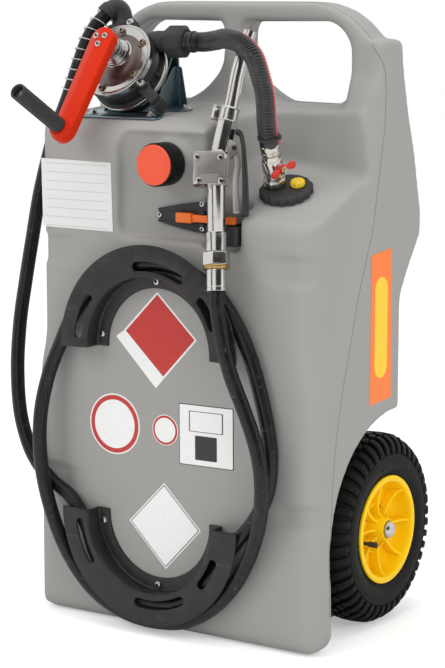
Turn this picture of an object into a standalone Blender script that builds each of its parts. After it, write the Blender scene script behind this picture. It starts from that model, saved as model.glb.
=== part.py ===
"""Wheeled fuel caddy with a hand pump, modelled in metres with +Z up.

The origin lies on the flat base face of the tank, midway between its sides and
under the handle loop. The caddy faces -Y. Left and right are as seen from the
front, so left is -X.
"""
from math import atan2, cos, hypot, pi, radians, sin, tan

import bmesh
import bpy
from mathutils import Matrix, Vector

# General sizes
GAP = 0.0003
OVERRUN = 0.010
WELD = 0.000002

# Tank
TANK_HALF_WIDTH = 0.278
BLOCK_HALF_WIDTH = 0.265
FRONT_Y = -0.200
REAR_Y = 0.053
WALL = 0.005
CORNER_RADIUS = 0.035
WAIST_Z = 0.400
LOOP_TOP_Z = 1.007
PLATFORM_DROP = 0.183
PLATFORM_Y = -0.150
PLATFORM_Z = LOOP_TOP_Z - PLATFORM_DROP
PLATFORM_TILT = radians(6.3)
TOP_EDGE_RADIUS = 0.045
TOP_SIDE_RADIUS = 0.040
BASE_EDGE_RADIUS = 0.028
RIDGE_Y = 0.000

# Handle loop and wings
LOOP_FRONT_Y = -0.012
LOOP_REAR_Y = 0.052
LOOP_BAR = 0.030
LOOP_CORNER_RADIUS = 0.145
LEG_WIDTH = 0.063
OPENING_CORNER_RADIUS = 0.052
STRUT_X = -0.008
STRUT_HALF_WAIST = 0.016
STRUT_HALF_TOP = 0.027
STRUT_HALF_FOOT = 0.088
STRUT_WAIST_DROP = 0.026
OPENING_RISE = 0.021
OPENING_FLOOR_Z = PLATFORM_Z + OPENING_RISE
SEAM_STEP = 0.0008
WING_DEPTH = 0.290
WING_REAR_SHARES = [(0.7586, 1.2500), (0.8414, 1.0330), (0.9138, 0.8821), (1.0, 0.6415),
                    (0.9966, 0.5660), (0.8966, 0.4528), (0.8000, 0.3538), (0.7690, 0.2712)]
WING_FRONT_SHARES = [(0.0, -0.2358), (0.1034, -0.0613), (0.3000, 0.3608), (0.4517, 0.6085),
                     (0.5517, 0.9434)]
WING_FRONT_Y = -0.170

# Recesses in the front of the tank
SHOULDER_DROP = 0.111
SHOULDER_CENTRE = (0.168, -0.120, PLATFORM_Z - SHOULDER_DROP)
SHOULDER_TILT = radians(24.0)
SHOULDER_EDGE_RADIUS = 0.025
SHOULDER_LEAN = radians(7.0)
RECESS_WALL_X = 0.062
RECESS_WALL_Y = -0.040
VALLEY_RIGHT_X = 0.130
VALLEY_FLOOR_Y = -0.150
VALLEY_DROP = 0.198
VALLEY_FLOOR_Z = PLATFORM_Z - VALLEY_DROP
FILLER_RECESS_LEFT_X = -0.100
FILLER_RECESS_Y = -0.182
FILLER_RECESS_DROP = 0.018
FILLER_RECESS_TOP_Z = PLATFORM_Z - FILLER_RECESS_DROP
FILLER_RECESS_HEIGHT = 0.169
FILLER_RECESS_FLOOR_Z = FILLER_RECESS_TOP_Z - FILLER_RECESS_HEIGHT

# Filler neck and cap
FILLER_X = -0.006
FILLER_DROP = 0.067
FILLER_Z = PLATFORM_Z - FILLER_DROP
NECK_RADIUS = 0.0260
NECK_BORE = 0.0200
NECK_LENGTH = 0.040
BOSS_RADIUS = 0.046
BOSS_LENGTH = 0.010
CAP_RADIUS = 0.0340
CAP_SKIRT_WALL = 0.0050
CAP_DEPTH = 0.036
CAP_TOP = 0.0045
CAP_DISC_RADIUS = 0.0318
CAP_DISC_THICKNESS = 0.0030
GASKET_THICKNESS = 0.0025
THREAD_PITCH = 0.004

# Wheels
WHEEL_RADIUS = 0.157
WHEEL_Y = 0.046
WHEEL_X = 0.2225
TYRE_WIDTH = 0.084
RIM_RADIUS = 0.0876
BEAD_RADIUS = 0.0800
HUB_RADIUS = 0.0230
HUB_LENGTH = 0.078
AXLE_RADIUS = 0.0100
BUSH_WALL = 0.0040
RUNNING_CLEARANCE = 0.0003
WELL_RADIUS = 0.205
WELL_INNER_X = 0.176
AXLE_CAP_RADIUS = 0.0140
AXLE_CAP_LENGTH = 0.0100
WHEEL_SEGMENTS = 28

# Pump, in the frame of its cover: local Z is the crank axis
PUMP_RISE = 0.088
PUMP_PLACE = (-0.147, -0.140, PLATFORM_Z + PUMP_RISE)
PUMP_TILT = radians(60.0)
COVER_RADIUS = 0.0646
COVER_THICKNESS = 0.010
BODY_RADIUS = 0.0680
BODY_LENGTH = 0.0510
DRUM_RADIUS = 0.0565
FLANGE_LENGTH = 0.0120
CHAMBER_RADIUS = 0.0500
CHAMBER_DEPTH = 0.0400
SHAFT_OFFSET = 0.0135
SHAFT_RADIUS = 0.0080
SHAFT_FRONT = 0.0304
BOSS_FRONT = 0.0180
SHAFT_BOSS_RADIUS = 0.0240
ROTOR_RADIUS = 0.0360
ROTOR_LENGTH = 0.0380
VANE_THICKNESS = 0.0050
VANE_HEIGHT = 0.0160
CRANK_HUB_RADIUS = 0.0175
CRANK_HUB_LENGTH = 0.0120
CRANK_REACH = 0.1607
CRANK_ANGLE = radians(-97.4)
CRANK_HALF_WIDTH = 0.0210
CRANK_DEPTH = 0.0160
CRANK_WALL = 0.0030
GRIP_PIN_RADIUS = 0.0060
GRIP_RADIUS = 0.0135
GRIP_BORE = 0.0068
GRIP_LENGTH = 0.1150
GRIP_SEAT = 0.0080
PIN_HEAD_RADIUS = 0.0090
PIN_HEAD_LENGTH = 0.0020
GRIP_MOUTH_RADIUS = 0.0100
GRIP_MOUTH_DEPTH = 0.0120

# Pump bracket
BRACKET_LEFT_X = -0.204
BRACKET_RIGHT_X = -0.052
BRACKET_FRONT_Y = -0.147
BRACKET_REAR_Y = -0.045
BRACKET_SHEET = 0.0030
SHEET_CLEARANCE = 0.0020
BRACKET_BACK_HALF_WIDTH = 0.050
BRACKET_BACK_HEIGHT = 0.124
BRACKET_BACK_TOP_Z = PLATFORM_Z + BRACKET_BACK_HEIGHT
BRACKET_REST_LENGTH = 0.078
BRACKET_X = -0.138

# Suction line
UNION_Y = -0.090
UNION_RISE = 0.1195
UNION_Z = PLATFORM_Z + UNION_RISE
UNION_LEFT_X = -0.0905
UNION_RIGHT_X = -0.040
UNION_HALF_FLATS = 0.0250
STUB_RADIUS = 0.0170
STUB_BORE = 0.0090
STUB_LEFT_X = -0.1000
BARB_RADIUS = 0.0110
BARB_END_X = -0.018
INLET_BOSS_RADIUS = 0.0165
SUCTION_RADIUS = 0.0160
SUCTION_RIB = 0.0014
SUCTION_BORE = 0.0126
SUCTION_RIBS = 32
SUCTION_CURVE_SEGMENTS = 2
STRAIGHT_SHARES = (0.0, 1.0, 2.0)
SUCTION_ROUTE_DROPS = [(0.0260, -0.1060, -0.0035), (0.0672, -0.1420, -0.0071), (0.1090, -0.1680, -0.0031),
                       (0.1310, -0.1770, 0.0059), (0.1485, -0.1820, 0.0210), (0.1596, -0.1820, 0.0496),
                       (0.1642, -0.1780, 0.0735)]
TIE_WIDTH = 0.0050
TIE_THICKNESS = 0.0014
TIE_INSET = 0.0120

# Suction cap and ball valve, in the frame of the shoulder: local Z is its normal
SUCTION_CAP_RADIUS = 0.0430
SUCTION_CAP_HEIGHT = 0.0110
SUCTION_CAP_SCALLOPS = 12
SCALLOP_RADIUS = 0.0032
SUCTION_SEAL = 0.0018
PORT_RADIUS = 0.0280
PORT_SPIGOT_RADIUS = 0.0272
PORT_SPIGOT_LENGTH = 0.0100
VALVE_X = -0.0185
VALVE_Y = -0.0013
VALVE_HEIGHT = 0.0720
VALVE_COLLAR_RADIUS = 0.0175
VALVE_COLLAR_HEIGHT = 0.0150
VALVE_WAIST_RADIUS = 0.0135
VALVE_CHEST_RADIUS = 0.0160
VALVE_BALL_RADIUS = 0.0105
BALL_CLEARANCE = 0.0006
VALVE_BORE = 0.0070
VALVE_BALL_HEIGHT = 0.0330
VALVE_TAIL_LENGTH = 0.0200
VALVE_STEM_RADIUS = 0.0040
VALVE_STEM_REACH = 0.0300
VALVE_HANDLE_REACH = 0.0300
VALVE_HANDLE_HEIGHT = 0.0110
VALVE_HANDLE_THICKNESS = 0.0045
VALVE_NUT_RADIUS = 0.0062
VALVE_NUT_HEIGHT = 0.0045
VALVE_TURN = radians(78.0)
VENT_X = 0.0160
VENT_Y = 0.0100
VENT_RADIUS = 0.0105
VENT_HEIGHT = 0.0090
VENT_STEM_RADIUS = 0.0045
VENT_STEM_LENGTH = 0.0070
DIP_RADIUS = 0.0100
DIP_WALL = 0.0018
DIP_X = 0.145
DIP_Y = -0.095
DIP_FOOT_Z = 0.044
DIP_BENDS = [(0.003, -0.006, 0.045), (0.001, -0.002, 0.073), (0.0, 0.0, 0.153)]
DIP_ROUTE = [(DIP_X + x, DIP_Y + y, SHOULDER_CENTRE[2] - drop) for x, y, drop in DIP_BENDS]
DIP_ROUTE += [(DIP_X, DIP_Y, WAIST_Z * 3 / 4), (DIP_X, DIP_Y, DIP_FOOT_Z)]
STRAINER_RADIUS = 0.0170
STRAINER_LENGTH = 0.0300
STRAINER_FLOOR_GAP = 0.0030

# Delivery line
OUTLET_X = -0.035
OUTLET_LOCAL_Y = 0.060
OUTLET_LOCAL_Z = -0.031
OUTLET_BOSS_RADIUS = 0.0205
OUTLET_BOSS_LENGTH = 0.012
ELBOW_RADIUS = 0.0165
ELBOW_BORE = 0.0095
HOSE_RADIUS = 0.0120
HOSE_ROUTE = [(-0.2040, -0.0880, 0.9850), (-0.2140, -0.1000, 0.9690), (-0.2235, -0.1110, 0.9460),
              (-0.2350, -0.1180, 0.9120), (-0.2500, -0.1200, 0.8720), (-0.2690, -0.1170, 0.8350),
              (-0.2950, -0.1100, 0.7930), (-0.3140, -0.1080, 0.7440), (-0.3240, -0.1180, 0.6850),
              (-0.3250, -0.1360, 0.6180), (-0.3240, -0.1560, 0.5500), (-0.3225, -0.1760, 0.4750),
              (-0.3150, -0.1930, 0.3950), (-0.2980, -0.2050, 0.3200), (-0.2680, -0.2115, 0.2620),
              (-0.2300, -0.2135, 0.2270), (-0.1870, -0.2145, 0.2020), (-0.1560, -0.2155, 0.1600),
              (-0.1330, -0.2155, 0.1080), (-0.0850, -0.2155, 0.0650), (-0.0200, -0.2155, 0.0490),
              (0.0470, -0.2155, 0.0660), (0.0970, -0.2155, 0.1140), (0.1300, -0.2155, 0.1640),
              (0.1680, -0.2145, 0.2080), (0.1930, -0.2135, 0.2560), (0.2000, -0.2130, 0.3050),
              (0.1960, -0.2130, 0.3500), (0.1800, -0.2140, 0.4180), (0.1590, -0.2150, 0.4780),
              (0.1280, -0.2155, 0.5320), (0.0850, -0.2155, 0.5740), (0.0300, -0.2155, 0.5970),
              (-0.0300, -0.2155, 0.6000), (-0.0900, -0.2155, 0.5860), (-0.1430, -0.2155, 0.5500),
              (-0.1830, -0.2155, 0.5000), (-0.2060, -0.2170, 0.4550), (-0.2230, -0.2260, 0.4050),
              (-0.2310, -0.2360, 0.3500), (-0.2320, -0.2400, 0.2950), (-0.2250, -0.2390, 0.2300),
              (-0.2040, -0.2300, 0.1480), (-0.1730, -0.2200, 0.0860), (-0.1290, -0.2155, 0.0450),
              (-0.0720, -0.2155, 0.0240), (-0.0150, -0.2155, 0.0200), (0.0400, -0.2155, 0.0290),
              (0.0880, -0.2155, 0.0560), (0.1300, -0.2165, 0.0970), (0.1640, -0.2210, 0.1500),
              (0.1880, -0.2300, 0.2050), (0.2010, -0.2400, 0.2560), (0.2000, -0.2430, 0.3050),
              (0.1890, -0.2450, 0.3500), (0.1710, -0.2480, 0.3970), (0.1500, -0.2510, 0.4480),
              (0.1360, -0.2530, 0.5000), (0.1283, -0.2556, 0.5492)]
HOSE_POINTS = 60
GUARD_TURNS = 9
GUARD_WIRE_RADIUS = 0.0011
GUARD_LENGTH = 0.150
GUARD_START = 0.006
GUARD_POINTS_PER_TURN = 8
GUARD_CLEARANCE = 0.0008
CLAMP_WIDTH = 0.0080
CLAMP_THICKNESS = 0.0015

# Nozzle, in its own frame: local Z runs from the hose end to the spout
NOZZLE_DROP = 0.253
NOZZLE_PLACE = (0.1245, -0.250, PLATFORM_Z - NOZZLE_DROP)
NOZZLE_LEAN = radians(-17.3)
NOZZLE_TURN = radians(34.0)
FERRULE_RADIUS = 0.0158
FERRULE_LENGTH = 0.0340
RING_RADIUS = 0.0208
RING_LENGTH = 0.0054
NUT_HALF_FLATS = 0.0185
NUT_LENGTH = 0.0210
SLEEVE_RADIUS = 0.0164
SLEEVE_LENGTH = 0.0300
TUBE_RADIUS = 0.0145
TUBE_LENGTH = 0.0730
BLOCK_WIDTH = 0.0480
BLOCK_DEPTH = 0.0330
BLOCK_HEIGHT = 0.0510
BLOCK_X = -0.0120
COVER_SHEET = 0.0040
NECK_TOP_X = 0.0210
NECK_HEIGHT = 0.0720
NECK_TUBE_RADIUS = 0.0150
SPOUT_RADIUS = 0.0110
SPOUT_WALL = 0.0012
SPOUT_ROUTE_SHARES = [(0.0, 0.0), (0.26, 0.34), (0.52, 0.62), (1.0, 1.0)]
SPOUT_SIDE = 0.0310
SPOUT_RISE = 0.1210
LEVER_PIVOT_X = 0.0270
LEVER_PIVOT_Z = 0.2220
LEVER_FOOT_X = 0.0300
LEVER_LENGTH = 0.1030
LEVER_THICKNESS = 0.0090
LEVER_WIDTH = 0.0120
LEVER_PIN_RADIUS = 0.0030
EAR_THICKNESS = 0.0040
EAR_HEIGHT = 0.0200
GUARD_PLATE = 0.0040
GUARD_WIDTH = 0.0200
GUARD_OUTLINE = [(0.0385, 0.248), (0.0425, 0.220), (0.0455, 0.185), (0.0450, 0.155), (0.0410, 0.130)]
GUARD_FOOT_X = 0.0200

# Nozzle holder and its lock bar
HOLDER_LEFT_X = -0.027
HOLDER_RIGHT_X = 0.0985
HOLDER_HALF_HEIGHT = 0.0250
HOLDER_TIP_HALF_HEIGHT = 0.0102
HOLDER_DROP = 0.149
HOLDER_Z = PLATFORM_Z - HOLDER_DROP
HOLDER_PLATE = 0.0060
CUP_LEFT_X = 0.0990
CUP_RIGHT_X = 0.1280
CUP_FRONT_Y = -0.2015
CUP_DROP = 0.0450
CUP_HEIGHT = 0.0460
CUP_FLOOR_Z = HOLDER_Z - CUP_DROP
CUP_TOP_Z = CUP_FLOOR_Z + CUP_HEIGHT
CUP_WALL = 0.0035
LOCK_LEFT_X = 0.042
LOCK_KNOB_LENGTH = 0.0300
LOCK_KNOB_RISE = 0.0020
LOCK_RIGHT_X = 0.1265
LOCK_HEIGHT = 0.0120
LOCK_DEPTH = 0.0080
LOCK_TRAVEL_KEEPER = 0.0140
LOCK_DROP = 0.0010
LOCK_Z = HOLDER_Z - LOCK_DROP
LOCK_KEEPER_WALL = 0.0030

# Hose brackets: half rings turned about the Y axis
BRACKET_CENTRE_X = -0.020
SPOOL_INNER_RADIUS = 0.0980
SPOOL_WEB_RADIUS = 0.1220
SPOOL_OUTER_RADIUS = 0.1700
SPOOL_TOP_RISE = 0.0610
SPOOL_FLOOR_CLEARANCE = 0.0180
TOP_BRACKET_Z = NOZZLE_PLACE[2] + SPOOL_TOP_RISE - SPOOL_OUTER_RADIUS
BOTTOM_BRACKET_Z = SPOOL_FLOOR_CLEARANCE + SPOOL_OUTER_RADIUS
SPOOL_SHEET = 0.0035
SPOOL_DEPTH = 0.0350
SPOOL_SEGMENTS = 36
SLOT_INNER_SHARE = 0.1250
SLOT_OUTER_SHARE = 0.4583
SLOT_INNER_RADIUS = SPOOL_WEB_RADIUS + (SPOOL_OUTER_RADIUS - SPOOL_WEB_RADIUS) * SLOT_INNER_SHARE
SLOT_OUTER_RADIUS = SPOOL_WEB_RADIUS + (SPOOL_OUTER_RADIUS - SPOOL_WEB_RADIUS) * SLOT_OUTER_SHARE
# Heights that the hose's route was laid out for
LAID_BOTTOM_Z = 0.188
LAID_TOP_Z = 0.462
LAID_RING_TOP_Z = 0.632
LAID_PLATFORM_Z = 0.824

SLOT_ANGLES = [(radians(62.0), radians(98.0)), (radians(146.0), radians(172.0)),
               (radians(22.0), radians(40.0))]

# Colours, as red, green, blue, roughness and metallic
GREY = (0.33, 0.32, 0.31, 0.55, 0.0)
BLACK = (0.020, 0.020, 0.022, 0.45, 0.0)
RUBBER = (0.016, 0.016, 0.016, 0.75, 0.0)
RED = (0.72, 0.045, 0.020, 0.35, 0.0)
ORANGE = (0.80, 0.16, 0.03, 0.40, 0.0)
YELLOW = (0.86, 0.52, 0.02, 0.35, 0.0)
ALUMINIUM = (0.70, 0.70, 0.70, 0.30, 1.0)
CHROME = (0.80, 0.80, 0.80, 0.12, 1.0)
ZINC = (0.45, 0.55, 0.60, 0.35, 1.0)
BRASS = (0.55, 0.40, 0.15, 0.35, 1.0)
BRASS_NICKEL = (0.62, 0.58, 0.50, 0.28, 1.0)
STEEL = (0.60, 0.60, 0.62, 0.30, 1.0)


def clear_scene():
    for item in list(bpy.data.objects):
        bpy.data.objects.remove(item, do_unlink=True)


def make_collection(name):
    group = bpy.data.collections.new(name)
    bpy.context.scene.collection.children.link(group)
    return group


def make_material(name, look):
    material = bpy.data.materials.new(name)
    material.use_nodes = True
    shader = material.node_tree.nodes["Principled BSDF"]
    shader.inputs["Base Color"].default_value = (look[0], look[1], look[2], 1.0)
    shader.inputs["Roughness"].default_value = look[3]
    shader.inputs["Metallic"].default_value = look[4]
    return material


def link_mesh(name, mesh):
    item = bpy.data.objects.new(name, mesh)
    PARTS.objects.link(item)
    return item


def finish(item, look):
    """Give a part its own material and smooth shading on its round faces."""
    item.data.materials.clear()
    item.data.materials.append(make_material(item.name, look))
    item.data.shade_smooth()
    item.data.set_sharp_from_angle(angle=radians(35))
    return item


def settle(item):
    """Turn a curve or a modified object into a welded mesh in the same place."""
    bpy.context.view_layer.update()
    graph = bpy.context.evaluated_depsgraph_get()
    mesh = bpy.data.meshes.new_from_object(item.evaluated_get(graph))
    shape = bmesh.new()
    shape.from_mesh(mesh)
    bmesh.ops.remove_doubles(shape, verts=shape.verts, dist=WELD)
    bmesh.ops.recalc_face_normals(shape, faces=shape.faces)
    shape.to_mesh(mesh)
    shape.free()
    fresh = link_mesh("settled", mesh)
    fresh.matrix_world = item.matrix_world.copy()
    name = item.name
    bpy.data.objects.remove(item, do_unlink=True)
    fresh.name = name
    return fresh


def join_flats(item):
    """Merge the triangles of each flat face into one face."""
    shape = bmesh.new()
    shape.from_mesh(item.data)
    bmesh.ops.dissolve_limit(shape, angle_limit=radians(0.05), verts=shape.verts, edges=shape.edges)
    shape.to_mesh(item.data)
    shape.free()
    return item


def as_tool(item):
    PARTS.objects.unlink(item)
    CUTTERS.objects.link(item)
    item.hide_render = True
    item.display_type = 'WIRE'


def combine(item, tool, operation):
    as_tool(tool)
    step = item.modifiers.new(tool.name, 'BOOLEAN')
    step.operation = operation
    step.object = tool


def add(item, tool):
    combine(item, tool, 'UNION')


def cut(item, tool):
    combine(item, tool, 'DIFFERENCE')


def keep(item, tool):
    combine(item, tool, 'INTERSECT')


def box(name, low, high):
    mesh = bpy.data.meshes.new(name)
    shape = bmesh.new()
    bmesh.ops.create_cube(shape, size=1.0)
    size = [b - a for a, b in zip(low, high)]
    centre = [(a + b) / 2 for a, b in zip(low, high)]
    bmesh.ops.scale(shape, vec=size, verts=shape.verts)
    bmesh.ops.translate(shape, vec=centre, verts=shape.verts)
    shape.to_mesh(mesh)
    shape.free()
    return link_mesh(name, mesh)


def cylinder(name, radius, bottom, top, segments=20, end_radius=None, turn=0.0):
    """Cylinder, cone or prism about local Z between two heights."""
    mesh = bpy.data.meshes.new(name)
    shape = bmesh.new()
    last = radius if end_radius is None else end_radius
    bmesh.ops.create_cone(shape, cap_ends=True, segments=segments, radius1=radius, radius2=last,
                          depth=top - bottom)
    bmesh.ops.rotate(shape, cent=(0, 0, 0), matrix=Matrix.Rotation(turn, 3, 'Z'), verts=shape.verts)
    bmesh.ops.translate(shape, vec=(0, 0, (bottom + top) / 2), verts=shape.verts)
    shape.to_mesh(mesh)
    shape.free()
    return link_mesh(name, mesh)


def turned(name, profile, segments=20, closed=False):
    """Turn a profile of (radius, height) points about local Z with a Screw modifier."""
    mesh = bpy.data.meshes.new(name)
    edges = [(i, i + 1) for i in range(len(profile) - 1)]
    if closed:
        edges.append((len(profile) - 1, 0))
    mesh.from_pydata([(radius, 0, height) for radius, height in profile], edges, [])
    item = link_mesh(name, mesh)
    screw = item.modifiers.new("turn", 'SCREW')
    screw.steps = segments
    screw.render_steps = segments
    screw.use_merge_vertices = True
    screw.merge_threshold = WELD
    return join_flats(settle(item))


def flat(name, outline, low, high):
    """Outline in local XY, extruded from one height to another."""
    curve = bpy.data.curves.new(name, 'CURVE')
    curve.dimensions = '2D'
    curve.fill_mode = 'BOTH'
    curve.extrude = (high - low) / 2
    line = curve.splines.new('POLY')
    line.points.add(len(outline) - 1)
    for point, (x, y) in zip(line.points, outline):
        point.co = (x, y, 0, 1)
    line.use_cyclic_u = True
    item = link_mesh(name, curve)
    item.location = (0, 0, (low + high) / 2)
    item = settle(item)
    item.data.transform(item.matrix_world)
    item.matrix_world = Matrix.Identity(4)
    return join_flats(item)


def tube(name, points, radius, level=2, radii=None):
    """Tube along straight steps between points, with closed ends."""
    curve = bpy.data.curves.new(name, 'CURVE')
    curve.dimensions = '3D'
    curve.bevel_depth = radius
    curve.bevel_resolution = level
    curve.use_fill_caps = True
    line = curve.splines.new('POLY')
    line.points.add(len(points) - 1)
    for i, place in enumerate(points):
        line.points[i].co = (*place, 1)
        line.points[i].radius = 1.0 if radii is None else radii[i] / radius
    return settle(link_mesh(name, curve))


def arc(centre, radius, start, stop, steps):
    """Points of an arc, both ends included."""
    points = []
    for i in range(steps + 1):
        angle = start + (stop - start) * i / steps
        points.append((centre[0] + radius * cos(angle), centre[1] + radius * sin(angle)))
    return points


def place(item, matrix):
    item.data.transform(matrix)
    return item


def smooth_route(points, count):
    """Even points along a centripetal Catmull-Rom curve through the given points."""
    route = [Vector(p) for p in points]
    route = [2 * route[0] - route[1]] + route + [2 * route[-1] - route[-2]]
    fine = []
    for a, b, c, d in zip(route, route[1:], route[2:], route[3:]):
        t1 = (b - a).length ** 0.5
        t2 = t1 + (c - b).length ** 0.5
        t3 = t2 + (d - c).length ** 0.5
        for i in range(24):
            t = t1 + (t2 - t1) * i / 24
            ab, bc, cd = a.lerp(b, t / t1), b.lerp(c, (t - t1) / (t2 - t1)), c.lerp(d, (t - t2) / (t3 - t2))
            abc, bcd = ab.lerp(bc, t / t2), bc.lerp(cd, (t - t1) / (t3 - t1))
            fine.append(abc.lerp(bcd, (t - t1) / (t2 - t1)))
    fine.append(route[-2])
    lengths = [0.0]
    for a, b in zip(fine, fine[1:]):
        lengths.append(lengths[-1] + (b - a).length)
    even, k = [], 0
    for i in range(count):
        want = lengths[-1] * i / (count - 1)
        while k < len(lengths) - 2 and lengths[k + 1] < want:
            k += 1
        share = (want - lengths[k]) / (lengths[k + 1] - lengths[k])
        even.append(fine[k].lerp(fine[k + 1], share))
    return even, lengths[-1]


def square_ends(points, start_lead, end_lead, run):
    """Give a tube's points a straight run at each end, square to what it meets."""
    first, last = Vector(points[0]), Vector(points[-1])
    limit = run * 3 / 2
    middle = [p for p in points if (p - first).length > limit and (p - last).length > limit]
    return [first, first + start_lead * run] + middle + [last - end_lead * run, last]


def laid(point):
    """Move a point of the hose's route up or down with the bracket or platform next to it."""
    x, y, z = point
    foot, ring = BOTTOM_BRACKET_Z - LAID_BOTTOM_Z, TOP_BRACKET_Z - LAID_TOP_Z
    steps = [(LAID_BOTTOM_Z, foot), (LAID_TOP_Z, ring), (LAID_RING_TOP_Z, ring),
             (LAID_PLATFORM_Z, PLATFORM_Z - LAID_PLATFORM_Z)]
    if z <= LAID_BOTTOM_Z:
        return (x, y, z + foot)
    for (low, a), (high, b) in zip(steps, steps[1:]):
        if z <= high:
            return (x, y, z + a + (b - a) * (z - low) / (high - low))
    return (x, y, z + steps[-1][1])


def platform_height(y):
    return PLATFORM_Z + (y - PLATFORM_Y) * tan(PLATFORM_TILT)


# Frames of the tilted groups
SIDEWAYS = Matrix(((0, 0, 1, 0), (1, 0, 0, 0), (0, 1, 0, 0), (0, 0, 0, 1)))
FORWARDS = Matrix(((1, 0, 0, 0), (0, 0, -1, 0), (0, 1, 0, 0), (0, 0, 0, 1)))
PUMP_FRAME = Matrix.Translation(PUMP_PLACE) @ Matrix.Rotation(PUMP_TILT, 4, 'X')
SHAFT_FRAME = PUMP_FRAME @ Matrix.Translation((0, SHAFT_OFFSET, 0))
CRANK_FRAME = SHAFT_FRAME @ Matrix.Rotation(CRANK_ANGLE, 4, 'Z')
SHOULDER_FRAME = (Matrix.Translation(SHOULDER_CENTRE) @ Matrix.Rotation(SHOULDER_LEAN, 4, 'Y')
                  @ Matrix.Rotation(SHOULDER_TILT, 4, 'X'))
VALVE_FRAME = SHOULDER_FRAME @ Matrix.Translation((VALVE_X, VALVE_Y, 0))
NOZZLE_FRAME = (Matrix.Translation(NOZZLE_PLACE) @ Matrix.Rotation(NOZZLE_TURN, 4, 'Z')
                @ Matrix.Rotation(NOZZLE_LEAN, 4, 'X'))
FILLER_FRAME = Matrix.Translation((FILLER_X, FILLER_RECESS_Y, FILLER_Z)) @ FORWARDS


def tank_block(name, inset):
    """Front block of the tank, shrunk by the wall thickness for the hollow."""
    front, rear = FRONT_Y + inset, REAR_Y - inset
    floor = inset
    top = platform_height(RIDGE_Y) - inset
    edge = (FRONT_Y + TOP_EDGE_RADIUS, platform_height(FRONT_Y + TOP_EDGE_RADIUS) - TOP_EDGE_RADIUS)
    foot = (FRONT_Y + BASE_EDGE_RADIUS, BASE_EDGE_RADIUS)
    side = [(rear, floor), (rear, top), (RIDGE_Y, top)]
    side += arc(edge, TOP_EDGE_RADIUS - inset, pi / 2 + PLATFORM_TILT, pi, 4)
    side += arc(foot, BASE_EDGE_RADIUS - inset, pi, pi * 3 / 2, 3)
    half = BLOCK_HALF_WIDTH - inset
    block = place(flat(name, side, -half, half), SIDEWAYS)
    round_centre = (half - TOP_SIDE_RADIUS + inset, top - TOP_SIDE_RADIUS + inset)
    right = arc(round_centre, TOP_SIDE_RADIUS - inset, 0, pi / 2, 5)
    front_view = [(half, -OVERRUN)] + right + [(-x, z) for x, z in reversed(right)] + [(-half, -OVERRUN)]
    sides = flat(name + "_sides", front_view, -REAR_Y - OVERRUN, OVERRUN - FRONT_Y)
    keep(block, place(sides, FORWARDS))
    low_half = TANK_HALF_WIDTH - inset
    low = place(flat(name + "_low", side, -low_half, low_half), SIDEWAYS)
    top_cut = box(name + "_low_top", (-TANK_HALF_WIDTH, FRONT_Y - OVERRUN, floor - OVERRUN),
                  (TANK_HALF_WIDTH, REAR_Y + OVERRUN, WAIST_Z - inset))
    keep(low, top_cut)
    add(block, low)
    return block


def corner_rounding(name, inset):
    """Plan of the tank with rounded front corners, to intersect with the block."""
    half = TANK_HALF_WIDTH - inset
    radius = CORNER_RADIUS - inset
    right = arc((half - radius, FRONT_Y + CORNER_RADIUS), radius, 0, -pi / 2, 4)
    left = [(-x, y) for x, y in reversed(right)]
    rear = REAR_Y + OVERRUN
    plan = [(half, rear)] + right + left + [(-half, rear)]
    return flat(name, plan, -OVERRUN, LOOP_TOP_Z)


def shoulder_cutter(name, grow):
    """Space over the sloping shoulder, behind the valve and right of the platform."""
    reach = LOOP_TOP_Z
    radius = SHOULDER_EDGE_RADIUS - grow
    back = SHOULDER_CENTRE[1] - FRONT_Y - SHOULDER_EDGE_RADIUS * (1 - sin(SHOULDER_TILT))
    centre = (-back / cos(SHOULDER_TILT), -SHOULDER_EDGE_RADIUS)
    edge = arc(centre, radius, pi / 2, pi - SHOULDER_TILT, 4)
    drop = SHOULDER_EDGE_RADIUS
    foot = (edge[-1][0] - drop * sin(SHOULDER_TILT), edge[-1][1] - drop * cos(SHOULDER_TILT))
    outline = [(reach, -grow)] + edge + [foot, (-reach, foot[1]), (-reach, reach), (reach, reach)]
    slab = flat(name, outline, -reach, reach)
    place(slab, SHOULDER_FRAME @ SIDEWAYS)
    limits = box(name + "_limits", (RECESS_WALL_X - grow, FRONT_Y + grow - OVERRUN, VALLEY_FLOOR_Z),
                 (TANK_HALF_WIDTH + OVERRUN, RECESS_WALL_Y + grow, LOOP_TOP_Z))
    keep(slab, limits)
    return slab


def valley_cutter(name, grow):
    return box(name, (RECESS_WALL_X - grow, FRONT_Y - OVERRUN, VALLEY_FLOOR_Z - grow),
               (VALLEY_RIGHT_X + grow, VALLEY_FLOOR_Y + grow, LOOP_TOP_Z))


def filler_cutter(name, grow):
    return box(name, (FILLER_RECESS_LEFT_X - grow, FRONT_Y - OVERRUN, FILLER_RECESS_FLOOR_Z - grow),
               (RECESS_WALL_X + OVERRUN, FILLER_RECESS_Y + grow, FILLER_RECESS_TOP_Z + grow))


def well_cutter(name, side, grow):
    well = cylinder(name, WELL_RADIUS + grow, WELL_INNER_X - grow, TANK_HALF_WIDTH + OVERRUN)
    frame = Matrix.Translation((0, WHEEL_Y, WHEEL_RADIUS)) @ SIDEWAYS
    if side < 0:
        frame = Matrix.Translation((0, WHEEL_Y, WHEEL_RADIUS)) @ Matrix.Rotation(pi, 4, 'Z') @ SIDEWAYS
    return place(well, frame)


def axle_tunnel(name, radius):
    tunnel = cylinder(name, radius, -TANK_HALF_WIDTH, TANK_HALF_WIDTH, 16)
    return place(tunnel, Matrix.Translation((0, WHEEL_Y, WHEEL_RADIUS)) @ SIDEWAYS)


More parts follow.
